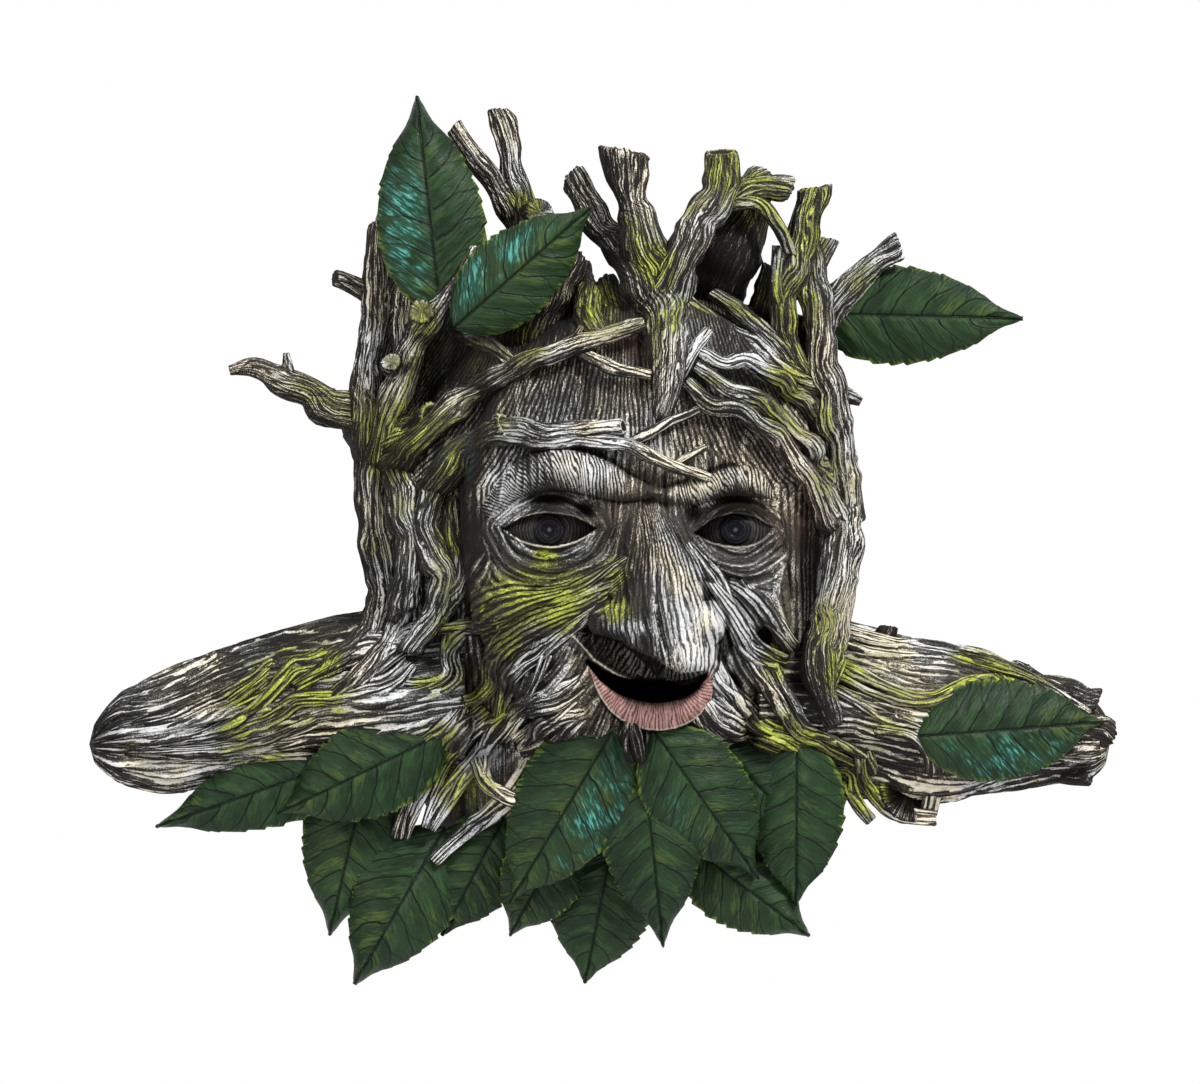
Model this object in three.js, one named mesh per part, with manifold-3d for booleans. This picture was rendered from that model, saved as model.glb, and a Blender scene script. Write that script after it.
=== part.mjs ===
// A green man wall mask, cast in one piece: a bark-skinned head with a crown of lopped branches,
// two log shoulders, a beard of roots and toothed leaves, and a flat back that hangs on a screw.
// Millimetres, +Z up, the wall is the plane Y = 0 and the mask looks towards -Y. The origin is on the flat
// back behind the bridge of the nose. A depth is how far a point stands out from the wall.
import * as THREE from "three";
import { mergeVertices } from "three/addons/utils/BufferGeometryUtils.js";
import Module from "manifold-3d";

const wasm = await Module();
wasm.setup();

// The head is a low dome. Its front is the face, which is turned a little towards its own left shoulder.
const HEAD_CENTRE = { x: 2, z: 0 };
const HEAD_HALF_WIDTH = 65;
const HEAD_HALF_HEIGHT = 72;
const HEAD_EDGE_DEPTH = 22;
const CROWN_SQUARENESS = 0.65;
const HEAD_FRONT_DEPTH = 48;
const HEAD_COLUMNS = 18;
const HEAD_ROWS = 22;
const FACE_CENTRE = { x: 8.5, z: 3 };
const FACE_HALF_WIDTH = 56;
const FACE_HALF_HEIGHT = 70;
const FACE_ROOT_DEPTH = 34;
const FACE_RISE = 30;
const FACE_TURN_DEG = 12;
const EYE_SPACING = 54;
const EYE_WIDTH = 30;
const EYE_HEIGHT = 15;
const EYE_SOCKET_DEPTH = 9;
const CHEEK_SPREAD = 32;
const CHEEK_DROP = 24;
const CHEEK_HALF_WIDTH = 14;
const CHEEK_HALF_HEIGHT = 12;
const CHEEK_RISE = 4;
const NOSE_LENGTH = 52;
const NOSE_HEIGHT = 20;
const NOSE_TIP_DROP = 6;
const NOSE_RADII = [5, 6, 8, 10, 6];
const WING_SPREAD = 13;
const WING_RISE = 4;
const WING_SIZE = [6, 10, 6];
const MOUTH_LEVEL = -38;
const MOUTH_WIDTH = 41;
const MOUTH_DEPTH = 12;
const MOUTH_TILT = 10;
const UPPER_LIP_SAG = 6;
const MOUTH_SAG = 10.5;
const LOWER_LIP_SAG = 17;
const LIP_THICKNESS = 9;

// The shoulders are two logs, flat against the wall.
const LOG_CORE_DEPTH = 12;
const LOG_SIDES = 9;
const LOG_STEPS = 6;

// The beard's core carries the leaves below the chin.
const BEARD_CENTRE = { x: 3, z: -68 };
const BEARD_HALF_WIDTH = 57;
const BEARD_HALF_HEIGHT = 38;
const BEARD_EDGE_DEPTH = 7;
const BEARD_FRONT_DEPTH = 34;

// Leaves and branches. Wood that is clear of the head stands about this far out from the wall.
const OPEN_DEPTH = 20;
const LEAF_WIDTH = 25;
const LEAF_THICKNESS = 3;
const LEAF_STEPS = 6;
const LIMB_SIDES = 5;
const LIMB_STEP_LENGTH = 12;

// The keyhole in the back takes a screw head.
const KEYHOLE_Z = 34;
const SCREW_HEAD_HOLE = 12;
const SCREW_SHANK_SLOT = 6;
const SLOT_TRAVEL = 14;
const SLOT_LIP = 3;
const KEYHOLE_DEPTH = 9;

const LONGEST = 400;
const ROUND_SIDES = 16;
const DEGREE = Math.PI / 180;

// A closed three.js geometry as a solid that can be joined and cut.
function solid(geometry) {
  geometry.deleteAttribute("normal");
  geometry.deleteAttribute("uv");
  const welded = mergeVertices(geometry, 1e-4);
  return new wasm.Manifold(
    new wasm.Mesh({
      numProp: 3,
      vertProperties: welded.attributes.position.array,
      triVerts: new Uint32Array(welded.index.array),
    }),
  );
}

// Moves each vertex of a geometry to where the function sends it.
function reshape(geometry, place) {
  const at = geometry.attributes.position;
  for (let i = 0; i < at.count; i++) {
    const p = place(at.getX(i), at.getY(i), at.getZ(i));
    at.setXYZ(i, p.x, p.y, p.z);
  }
  return geometry;
}

const mix = (a, b, t) => a + (b - a) * t;
const bump = (distance, width) => Math.exp(-((distance / width) ** 2));

// How far a dome rises at a place, from 1 at its centre to 0 at its rim and beyond.
function dome(x, z, centre, halfWidth, halfHeight) {
  const r2 = ((x - centre.x) / halfWidth) ** 2 + ((z - centre.z) / halfHeight) ** 2;
  return Math.sqrt(Math.max(0, 1 - r2));
}

// A value between the numbers of a list, at a share of its length.
function along(list, share) {
  const k = Math.min(share * (list.length - 1), list.length - 1 - 1e-9);
  return mix(list[Math.floor(k)], list[Math.floor(k) + 1], k - Math.floor(k));
}

// Each log runs from inside the head to its broken end: stations of x, centre height, half height, depth.
const LOGS = {
  left: [
    [-40, -42, 24, 44],
    [-69, -44, 24, 40],
    [-94, -48.5, 21, 36],
    [-124, -53, 17, 30],
    [-141, -56.5, 11, 24],
    [-150, -58, 5, 19],
  ],
  right: [
    [46, -46, 24, 42],
    [68, -48, 25, 38],
    [98, -52, 22, 34],
    [126, -52.5, 15, 29],
    [140, -54, 11, 25],
    [149, -55, 8, 22],
  ],
};

// The log's centre height, half height and depth at a place across the mask, or null past its ends.
function logAt(stations, x) {
  const share = (x - stations[0][0]) / (stations.at(-1)[0] - stations[0][0]);
  if (share < 0 || share > 1) return null;
  const k = stations.findIndex(([sx], i) => i > 0 && (x - sx) * Math.sign(sx) <= 0);
  const [a, b] = [stations[k - 1], stations[k]];
  const t = (x - a[0]) / (b[0] - a[0]);
  return [1, 2, 3].map((i) => mix(a[i], b[i], t));
}

const turn = FACE_TURN_DEG * DEGREE;
const HEAD = [HEAD_CENTRE, HEAD_HALF_WIDTH, HEAD_HALF_HEIGHT];
const BEARD = [BEARD_CENTRE, BEARD_HALF_WIDTH, BEARD_HALF_HEIGHT];
const FACE = [{ x: 0, z: 0 }, FACE_HALF_WIDTH, FACE_HALF_HEIGHT];

// How far the mask's broad masses stand out from the wall at a place, before any carving.
function form(x, z) {
  const head = dome(x, z, ...HEAD);
  const beard = dome(x, z, ...BEARD);
  const across = (x - FACE_CENTRE.x - 0.7 * FACE_RISE * Math.sin(turn)) / Math.cos(turn);
  const face = dome(across, z - FACE_CENTRE.z, ...FACE);
  return Math.max(
    OPEN_DEPTH,
    head && mix(HEAD_EDGE_DEPTH, HEAD_FRONT_DEPTH, head),
    beard && mix(BEARD_EDGE_DEPTH, BEARD_FRONT_DEPTH, beard),
    face && FACE_ROOT_DEPTH + FACE_RISE * face * Math.cos(turn) - across * Math.sin(turn),
    ...Object.values(LOGS).map((stations) => {
      const [centre, half, depth] = logAt(stations, x) ?? [0, 1, 0];
      return depth * Math.sqrt(Math.max(0, 1 - ((z - centre) / half) ** 2));
    }),
  );
}

// The beard's core: a low dome on a short wall, turned on a lathe and stretched.
function beardSolid() {
  const rings = [1, 0.86, 0.5, 0];
  const profile = [new THREE.Vector2(0, -BEARD_EDGE_DEPTH), new THREE.Vector2(1, -BEARD_EDGE_DEPTH)];
  for (const r of rings) {
    profile.push(new THREE.Vector2(r, mix(BEARD_EDGE_DEPTH, BEARD_FRONT_DEPTH, Math.sqrt(1 - r * r))));
  }
  return solid(
    reshape(new THREE.LatheGeometry(profile, ROUND_SIDES), (x, y, z) => ({
      x: BEARD_CENTRE.x + x * BEARD_HALF_WIDTH,
      y: -y,
      z: BEARD_CENTRE.z - z * BEARD_HALF_HEIGHT,
    })),
  );
}

// A log: a ring of vertices at each station, oval, cut later by the wall.
function logSolid(stations) {
  const [first, last] = [stations[0][0], stations.at(-1)[0]];
  const outward = Math.sign(last);
  return solid(
    reshape(new THREE.CylinderGeometry(1, 1, 1, LOG_SIDES, LOG_STEPS), (x, y, z) => {
      const at = mix(first, last, y + 0.5);
      const [centre, half, depth] = logAt(stations, at);
      const flute = 1 + 0.05 * Math.cos(5 * Math.atan2(z, x));
      return {
        x: at,
        y: -(LOG_CORE_DEPTH + z * flute * (depth - LOG_CORE_DEPTH)),
        z: centre - outward * x * flute * half,
      };
    }),
  );
}

// The height of the smooth face over its root plane: a dome with two sockets and two cheeks.
const eyeX = EYE_SPACING / 2;
function faceHeight(x, z) {
  const side = Math.abs(x);
  const socket = bump(Math.hypot((side - eyeX) / EYE_WIDTH, z / EYE_HEIGHT), 0.5);
  const fromCheek = (side - CHEEK_SPREAD) / CHEEK_HALF_WIDTH;
  const overCheek = (z + CHEEK_DROP) / CHEEK_HALF_HEIGHT;
  const cheek = bump(Math.hypot(fromCheek, overCheek), 1);
  return FACE_RISE * dome(x, z, ...FACE) - EYE_SOCKET_DEPTH * socket + CHEEK_RISE * cheek;
}

// A place on the face, standing out by rise from its surface, after the face is turned.
function onFace(x, z, rise) {
  const h = faceHeight(x, z) + rise;
  return new THREE.Vector3(
    FACE_CENTRE.x + x * Math.cos(turn) + h * Math.sin(turn),
    x * Math.sin(turn) - FACE_ROOT_DEPTH - h * Math.cos(turn),
    FACE_CENTRE.z + z,
  );
}

// A place off the mask's broad form.
const onForm = (x, z, rise) => new THREE.Vector3(x, -(form(x, z) + rise), z);

// The head: a block rounded in plan, an oval at the chin and squarer at the crown. Its front is the dome,
// and the face rises from it.
function headSolid() {
  const block = new THREE.BoxGeometry(2, 2, 1, HEAD_COLUMNS, HEAD_ROWS, 1);
  return solid(
    reshape(block, (u, v, front) => {
      const round = v > 0 ? 1 - CROWN_SQUARENESS : 1;
      const x = HEAD_CENTRE.x + u * Math.sqrt(1 - (round * v * v) / 2) * HEAD_HALF_WIDTH;
      const z = HEAD_CENTRE.z + v * Math.sqrt(1 - (round * u * u) / 2) * HEAD_HALF_HEIGHT;
      if (front < 0) return { x, y: 2, z };
      const plain = new THREE.Vector3(x, -mix(HEAD_EDGE_DEPTH, HEAD_FRONT_DEPTH, dome(x, z, ...HEAD)), z);
      const [across, up] = [x - FACE_CENTRE.x, z - FACE_CENTRE.z];
      const carved = onFace(across, up, 0);
      carved.y = Math.min(carved.y, plain.y);
      return plain.lerp(carved, THREE.MathUtils.smoothstep(dome(across, up, ...FACE), 0, 0.35));
    }),
  );
}

// A swept length of wood or flesh through places, whose section is oval: sides wide and fronts thick.
function limb(points, radii, place = onForm, sides = LIMB_SIDES, flatness = 1) {
  const spine = new THREE.CatmullRomCurve3(points.map((p) => place(...p)), false, "centripetal");
  const steps = Math.max(2, Math.round(spine.getLength() / LIMB_STEP_LENGTH));
  return solid(
    reshape(new THREE.CylinderGeometry(1, 1, 1, sides, steps), (x, y, z) => {
      const share = Math.round((y + 0.5) * steps) / steps;
      const along3 = spine.getTangentAt(share);
      const outwards = new THREE.Vector3(0, -1, 0).addScaledVector(along3, along3.y).normalize();
      const r = along(radii, share);
      return spine
        .getPointAt(share)
        .addScaledVector(outwards, z * r * flatness)
        .addScaledVector(along3.clone().cross(outwards), x * r);
    }),
  );
}

// One eye: a ball between two lids, with a bag and a brow. Side is -1 on the viewer's left, 1 on the right.
function eye(side) {
  const [w, h] = [EYE_WIDTH / 2, EYE_HEIGHT / 2];
  const at = (points) => points.map(([x, z, rise]) => [side * (eyeX + x), z, rise]);
  const centre = onFace(side * eyeX, 0, -3);
  const ball = new THREE.SphereGeometry(1, 8, 6);
  ball.scale(w * 0.85, 8, h * 1.15).translate(...centre);
  const upperLid = at([[-w, 0, 1], [-w * 0.4, h * 0.8, 5], [w * 0.3, h, 5], [w * 1.1, 0, 2]]);
  const lowerLid = at([[-w, 0, 1], [-w * 0.4, -h * 0.8, 4], [w * 0.3, -h, 4], [w * 1.1, 0, 2]]);
  const bag = at([[-w, -h, 0], [-w * 0.2, -h * 1.9, 1], [w, -h, 0]]);
  const brow = at([[-w * 1.7, h * 1.3, 1], [-w, h * 1.7, 2], [w * 0.2, h * 2.4, 1], [w * 1.4, h, 0]]);
  return [
    solid(ball),
    limb(upperLid, [1.4, 2.4, 2.4, 1.6], onFace),
    limb(lowerLid, [1.4, 2.2, 2.2, 1.6], onFace),
    limb(bag, [2, 3.4, 2], onFace),
    limb(brow, [3.4, 5, 5, 3.4], onFace, 6),
  ];
}

// The nose: a beam that widens to its tip, and a wing at each side.
function noseSolids() {
  const root = NOSE_LENGTH * 0.22;
  const tip = root - NOSE_LENGTH;
  const wings = [-1, 1].map((side) => {
    const wing = new THREE.SphereGeometry(1, 7, 5);
    const centre = onFace(side * WING_SPREAD + 2, tip + WING_SPREAD, WING_RISE);
    return solid(wing.scale(...WING_SIZE).translate(...centre));
  });
  const beam = [
    [0, root + 4, -2],
    [0, root, 2],
    [1, mix(root, tip, 0.5), NOSE_HEIGHT / 2],
    [2, tip + 4, NOSE_HEIGHT],
    [2, tip, NOSE_HEIGHT - NOSE_TIP_DROP],
  ];
  return [limb(beam, NOSE_RADII, onFace, 8, 1.25), ...wings];
}

// The lips and what the open mouth cuts away. The line runs from the corner on the viewer's left, which is
// the higher one, to the right corner, and sags between them.
function lipLine(sag, rise) {
  return [-0.5, -0.25, 0.05, 0.3, 0.5].map((share) => {
    const fall = 1 - (2 * share) ** 2;
    return [share * MOUTH_WIDTH - 3, MOUTH_LEVEL - sag * fall - MOUTH_TILT * share, rise];
  });
}
const upperLip = () => limb(lipLine(UPPER_LIP_SAG, 2), [1.6, 3.2, 3.4, 3, 1.6], onFace);
const lowerLipRadii = [1.8, 4, 4.6, 4, 1.8].map((r) => (r * LIP_THICKNESS) / 9);
const lowerLip = () => limb(lipLine(LOWER_LIP_SAG, 1), lowerLipRadii, onFace, 6);
const mouth = () => limb(lipLine(MOUTH_SAG, 3), [1.4, 3, 4, 3, 1.4], onFace, 6, MOUTH_DEPTH / 4);

// A leaf: a thin cambered blade, folded at its midrib, with a toothed edge. Its base and tip are x, z and
// how far they stand out from the broad form.
function leaf(base, tip, width) {
  const [from, to] = [base, tip].map(([x, z, rise]) => new THREE.Vector3(x, -(form(x, z) + rise), z));
  const dir = to.clone().sub(from);
  const length = dir.length();
  dir.normalize();
  const front = new THREE.Vector3(0, -1, 0);
  front.addScaledVector(dir, -front.dot(dir)).normalize();
  const across = dir.clone().cross(front);
  const blade = new THREE.BoxGeometry(2, 1, 1, 2, LEAF_STEPS, 1);
  return solid(
    reshape(blade, (t, y, side) => {
      const s = y + 0.5;
      const tooth = 1 + 0.06 * (Math.round(s * LEAF_STEPS) % 2 ? 1 : -1);
      const half = Math.max(0.8, (width / 2) * tooth * Math.sin(Math.PI * s ** 0.8) ** 0.7);
      const camber = 3 * Math.sin(Math.PI * s) - 0.12 * width * t * t;
      return from
        .clone()
        .addScaledVector(dir, s * length)
        .addScaledVector(across, t * half)
        .addScaledVector(front, camber + side * LEAF_THICKNESS);
    }),
  );
}

// The crown and the wood that frames the face, from the viewer's left to the right.
const BRANCHES = [
  // The two trunks beside the face.
  [[[-65, 27, 4], [-65, -4, 4], [-61, -34, 2]], [6, 6.4, 5]],
  [[[-49, 16, 2], [-52, 4, 3], [-48, -12, 3], [-55, -31, 2]], [5.4, 5.6, 5.6, 4]],
  // The outer trunk with its stub, and the thorny antler.
  [[[-67, 24, 4], [-69, 48, 4], [-66, 68, 4], [-65, 92, 2]], [6.4, 5.4, 4.6, 4]],
  [[[-65, 70, 3], [-78, 77, 2]], [3.6, 3]],
  [[[-62, 26, 4], [-76, 37, 3], [-90, 43, 4], [-100, 51, 6], [-109, 50, 6]], [9, 7.4, 6, 4.2, 2]],
  // The knotted bough under the two tall leaves, and what stands behind it.
  [[[-64, 24, 6], [-60, 46, 14], [-52, 64, 22], [-34, 84, 24]], [5.4, 4.6, 4.8, 3]],
  [[[-57, 44, 0], [-57, 62, 4], [-53, 82, 4]], [7, 7, 4]],
  [[[-22, 60, -2], [-22, 92, 6], [-30, 125, 2]], [9, 5.6, 3.4]],
  [[[-22, 90, 6], [-43, 121, 8]], [4.4, 2.6]],
  [[[-26, 96, 6], [-17, 96, 16]], [5, 4.6]],
  [[[-24, 56, 0], [-18, 66, 10], [-10, 82, 16]], [10, 9, 6]],
  // Bent boughs across the forehead.
  [[[-62, 20, 5], [-46, 37, 4], [-21, 52, 4], [12, 63, 8]], [5.2, 4.6, 3.4, 2]],
  [[[-51, 12, 3], [-41, 25, 4], [-28, 33, 4]], [5.2, 5.2, 4.6]],
  [[[-31, 32, 3], [-12, 32.5, 2.5], [6, 33, 4]], [4, 3.2, 2.2]],
  [[[-28, 31, 2.5], [-6, 28.5, 2], [14, 25, 3], [31, 18, 5]], [3.4, 3, 2.6, 1.8]],
  // The great forked bough over the middle of the forehead.
  [[[17, 34, 0], [19, 52, 4], [16, 72, 24], [9, 100, 24], [6, 113, 22]], [3, 6, 8, 6, 5.6]],
  [[[15, 68, 20], [2, 90, 16], [-8, 106, 12]], [6.4, 5, 4]],
  [[[17, 72, 22], [28, 92, 22], [35, 113, 18]], [6.6, 5.8, 4.2]],
  [[[32, 98, 18], [54, 103, 14]], [4.2, 3.4]],
  [[[38, 99, 18], [47, 98, 18], [55, 84, 14]], [2.4, 2.6, 3]],
  [[[0, 52, 0], [-3.5, 70, 16]], [7, 5]],
  [[[30, 66, 0], [36, 84, 2], [47, 106, 2]], [10, 9, 5]],
  // The crown on the viewer's right.
  [[[63, 103, 10], [56, 80, 10], [52, 66, 8], [64, 42, 6]], [4.4, 5.4, 5.4, 4]],
  [[[60, 90, 8], [64, 60, 8], [68, 28, 6], [70, 6, 5]], [3, 5, 5, 5.6]],
  [[[70, 10, 5], [66, -18, 5], [64, -38, 5], [70, -54, 2]], [6, 5.6, 5.2, 2.4]],
  [[[60, 58, 4], [72, 74, 8], [87, 86, 10]], [6, 4.6, 3]],
  // Boughs woven over the temple.
  [[[28, 54, 5], [43, 52, 6], [67, 32, 6]], [2.4, 3, 3.6]],
  [[[24, 46, 3], [42, 40, 4], [60, 23, 5], [70, 4, 6]], [2.6, 3.2, 4, 4.4]],
];

// The roots that spring from the cheeks, run down over the shoulders and hang as a beard.
const ROOTS = [
  // The viewer's left.
  [[[6, -6, 1], [-18, -19, 1], [-46, -29, 1], [-76, -41, 1]], [2.8, 3.2, 3.4, 2.6]],
  [[[4, -13, 2], [-22, -26, 1], [-36, -39, 1], [-46, -54, 1]], [3, 4, 4, 3]],
  [[[2, -44, 0], [-14, -57, 1], [-26, -63, 3]], [5.4, 6, 4]],
  [[[-68, -27, 1], [-93, -42, 1], [-118, -55, 1], [-139, -61, 0]], [3, 3.4, 3.4, 2.4]],
  // The viewer's right.
  [[[25, -1, 1], [39, -23, 1], [55, -36, 1]], [2.6, 4, 3.4]],
  [[[40, -26, 1], [54, -49, 1], [78, -66, 1]], [3.6, 4, 3]],
  [[[27, -42, -1], [40, -57, 1], [58, -62, 2]], [6, 6, 4]],
  [[[56, -60, 1], [64, -72, 3], [80, -82, 4]], [3.4, 3.4, 2.4]],
  [[[76, -62, 1], [80, -76, 4], [97, -82, 4], [94, -66, 2]], [3, 3.2, 3, 3]],
  [[[66, -27, 1], [98, -33, 1], [143, -51, 0]], [4.6, 4.4, 3]],
];

// Leaves: base, tip and width, as a share of a middling leaf's. The first three are in the crown.
const LEAVES = [
  [[-47, 66, 22], [-54, 130, 20], 1.28],
  [[-43, 62, 28], [-3, 97, 34], 1.04],
  [[60, 67, 2], [123, 65, 16], 1.16],
  [[93, -57, 3], [148, -53, 2], 1.2],
  [[-46, -56, 4], [-95, -80, 12], 1.16],
  [[-68, -62, 0], [-131, -84, 4], 0.96],
  [[-68, -64, 0], [-80, -116, 2], 1.2],
  [[-42, -82, 4], [-73, -130, 8], 1.4],
  [[-28, -80, 0], [-47, -116, 2], 1.08],
  [[4, -54, 0], [-27, -106, 14], 1.32],
  [[-10, -84, -1], [-27, -116, 6], 1],
  [[12, -62, 0], [18, -119, 14], 1.2],
  [[15, -55, 0], [46, -99, 16], 1.24],
  [[24, -88, -1], [61, -116, 6], 1.08],
  [[3, -90, 0], [-5, -130, 2], 1.24],
  [[57, -58, 2], [57, -107, 8], 1.16],
  [[34, -60, 2], [56, -82, 12], 0.88],
];

// The keyhole: a round well for the screw's head, a slot for its shank, and a channel behind the slot's lips.
function keyhole() {
  const wellRadius = SCREW_HEAD_HOLE / 2;
  const well = new THREE.CylinderGeometry(wellRadius, wellRadius, 2 * KEYHOLE_DEPTH, ROUND_SIDES);
  well.translate(0, 0, KEYHOLE_Z);
  const slot = new THREE.BoxGeometry(SCREW_SHANK_SLOT, 2 * KEYHOLE_DEPTH, SLOT_TRAVEL);
  slot.translate(0, 0, KEYHOLE_Z + SLOT_TRAVEL / 2);
  const channelDepth = KEYHOLE_DEPTH - SLOT_LIP;
  const channel = new THREE.BoxGeometry(SCREW_HEAD_HOLE, channelDepth, SLOT_TRAVEL + SCREW_HEAD_HOLE / 2);
  channel.translate(0, -SLOT_LIP - channelDepth / 2, KEYHOLE_Z + (SLOT_TRAVEL + SCREW_HEAD_HOLE / 2) / 2);
  return [well, slot, channel].map(solid);
}

const wall = solid(new THREE.BoxGeometry(LONGEST, LONGEST, LONGEST).translate(0, LONGEST / 2, 0));
const masses = [
  headSolid().subtract(mouth()),
  beardSolid(),
  ...[-1, 1].flatMap(eye),
  ...noseSolids(),
  upperLip(),
  lowerLip(),
  ...Object.values(LOGS).map(logSolid),
  ...[...BRANCHES, ...ROOTS].map((route) => limb(...route)),
  ...LEAVES.map(([base, tip, width]) => leaf(base, tip, width * LEAF_WIDTH)),
];
const joined = masses.reduce((whole, mass) => whole.add(mass));
const cast = [wall, ...keyhole()].reduce((whole, cut) => whole.subtract(cut), joined);

const made = cast.getMesh();
const geometry = new THREE.BufferGeometry();
geometry.setAttribute("position", new THREE.BufferAttribute(made.vertProperties, 3));
geometry.setIndex(new THREE.BufferAttribute(made.triVerts, 1));
geometry.computeVertexNormals();

const bark = new THREE.MeshStandardMaterial({ color: 0x4b4a3d, roughness: 0.7, metalness: 0 });
const mask = new THREE.Mesh(geometry, bark);
mask.name = "green_man_mask";

const plaque = new THREE.Group();
plaque.add(mask);
export default plaque;
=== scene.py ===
import math

import bmesh
import bpy
import numpy as np
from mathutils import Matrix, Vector


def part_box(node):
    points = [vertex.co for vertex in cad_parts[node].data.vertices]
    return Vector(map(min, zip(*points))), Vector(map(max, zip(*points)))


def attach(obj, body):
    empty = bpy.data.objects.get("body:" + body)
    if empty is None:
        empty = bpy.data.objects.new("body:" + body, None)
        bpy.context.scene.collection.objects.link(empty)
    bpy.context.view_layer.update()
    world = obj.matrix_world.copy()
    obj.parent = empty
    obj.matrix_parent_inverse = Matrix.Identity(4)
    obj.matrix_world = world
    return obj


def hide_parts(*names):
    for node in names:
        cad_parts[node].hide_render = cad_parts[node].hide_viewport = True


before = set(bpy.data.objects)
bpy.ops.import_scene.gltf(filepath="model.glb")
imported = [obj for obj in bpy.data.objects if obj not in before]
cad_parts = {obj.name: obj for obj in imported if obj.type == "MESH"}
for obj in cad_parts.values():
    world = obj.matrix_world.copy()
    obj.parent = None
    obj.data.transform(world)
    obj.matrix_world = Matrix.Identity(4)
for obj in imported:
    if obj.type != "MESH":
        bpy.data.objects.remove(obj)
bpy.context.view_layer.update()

mask_low, mask_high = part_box("green_man_mask")

# The bulk of the head: one mass of resin, flat on the wall, square at its edge and domed in front, cast
# from a carving of old wood. It is painted near-black, then dry-brushed with cream and moss green along
# a grain that runs every which way. Lengths in this file are millimetres until a mesh is made.
MM = 0.001
# A dome is its middle, its half width and its half height.
HEAD = ((2, 0), 65, 72)
HEAD_EDGE_DEPTH, HEAD_FRONT_DEPTH = 22, 48
CROWN_SQUARENESS = 0.65
FACE = ((0, 0), 56, 70)
FACE_CENTRE = (8.5, 3)
FACE_ROOT_DEPTH, FACE_RISE = 34, 30
FACE_TURN = math.radians(12)
FACE_SHIFT = 0.7
FACE_BLEND = 0.35


def mix(a, b, t):
    return a + (b - a) * t


def ease(value, low, high):
    """0 below low, 1 above high and a smooth step between them."""
    t = np.clip((value - low) / (high - low), 0, 1)
    return t * t * (3 - 2 * t)


def bump(distance, width):
    """1 in the middle, falling away smoothly over a width."""
    return np.exp(-((distance / width) ** 2))


def dome(x, z, centre, half_width, half_height):
    r2 = ((x - centre[0]) / half_width) ** 2 + ((z - centre[1]) / half_height) ** 2
    return np.sqrt(np.clip(1 - r2, 0, None))


def head_form(x, z):
    """How far the smooth head and face stand out from the wall."""
    plain = mix(HEAD_EDGE_DEPTH, HEAD_FRONT_DEPTH, dome(x, z, *HEAD))
    across = (x - FACE_CENTRE[0] - FACE_SHIFT * FACE_RISE * math.sin(FACE_TURN)) / math.cos(FACE_TURN)
    face = dome(across, z - FACE_CENTRE[1], *FACE)
    turned = FACE_ROOT_DEPTH + FACE_RISE * face * math.cos(FACE_TURN) - across * math.sin(FACE_TURN)
    return mix(plain, np.maximum(turned, plain), ease(face, 0, FACE_BLEND))


def rounded_square(u, v, centre, half_width, half_height, squareness=0.0):
    """Places in a square from -1 to 1, drawn in to an oval that may stay squarer above its middle."""
    roundness = np.where(v > 0, 1 - squareness, 1)
    x = centre[0] + u * np.sqrt(1 - roundness * v * v / 2) * half_width
    z = centre[1] + v * np.sqrt(1 - roundness * u * u / 2) * half_height
    return x, z


SPAN_CUTS = 16
LINE_STEP = 2.0


def curve(points, step=1.0):
    """A smooth line through given points, in even steps, and each step's share of its length."""
    points = np.array(points, float)
    knots = np.concatenate([[0], np.cumsum(np.linalg.norm(np.diff(points, axis=0), axis=1) ** 0.5)])
    ends = [2 * points[0] - points[1], *points, 2 * points[-1] - points[-2]]
    times = [2 * knots[0] - knots[1], *knots, 2 * knots[-1] - knots[-2]]
    fine = []
    for k in range(len(points) - 1):
        (p0, p1, p2, p3), (t0, t1, t2, t3) = ends[k:k + 4], times[k:k + 4]
        t = np.linspace(t1, t2, SPAN_CUTS, endpoint=k == len(points) - 2)[:, None]
        a1, a2, a3 = (
            (q1 * (s1 - t) + q2 * (t - s0)) / (s1 - s0)
            for q1, q2, s0, s1 in ((p0, p1, t0, t1), (p1, p2, t1, t2), (p2, p3, t2, t3))
        )
        b1 = (a1 * (t2 - t) + a2 * (t - t0)) / (t2 - t0)
        b2 = (a2 * (t3 - t) + a3 * (t - t1)) / (t3 - t1)
        fine.append((b1 * (t2 - t) + b2 * (t - t1)) / (t2 - t1))
    fine = np.concatenate(fine)
    run = np.concatenate([[0], np.cumsum(np.linalg.norm(np.diff(fine, axis=0), axis=1))])
    share = np.linspace(0, 1, max(3, round(run[-1] / step) + 1))
    return np.stack([np.interp(share * run[-1], run, axis) for axis in fine.T], axis=1), share


def nearest(x, z, line):
    """How far places are from a line, and its share of length and direction where it is nearest."""
    points, share = curve(line, LINE_STEP)
    best = np.full(x.shape, np.inf)
    at, dx, dz = np.zeros(x.shape), np.zeros(x.shape), np.ones(x.shape)
    for (ax, az), (bx, bz), s0, s1 in zip(points[:-1], points[1:], share[:-1], share[1:]):
        ex, ez = bx - ax, bz - az
        length2 = ex * ex + ez * ez
        t = np.clip(((x - ax) * ex + (z - az) * ez) / length2, 0, 1)
        distance = np.hypot(x - ax - t * ex, z - az - t * ez)
        closer = distance < best
        best[closer] = distance[closer]
        at[closer] = (s0 + t * (s1 - s0))[closer]
        dx[closer], dz[closer] = ex / math.sqrt(length2), ez / math.sqrt(length2)
    return best, at, dx, dz


CLOUD_CELLS = 64


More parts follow.
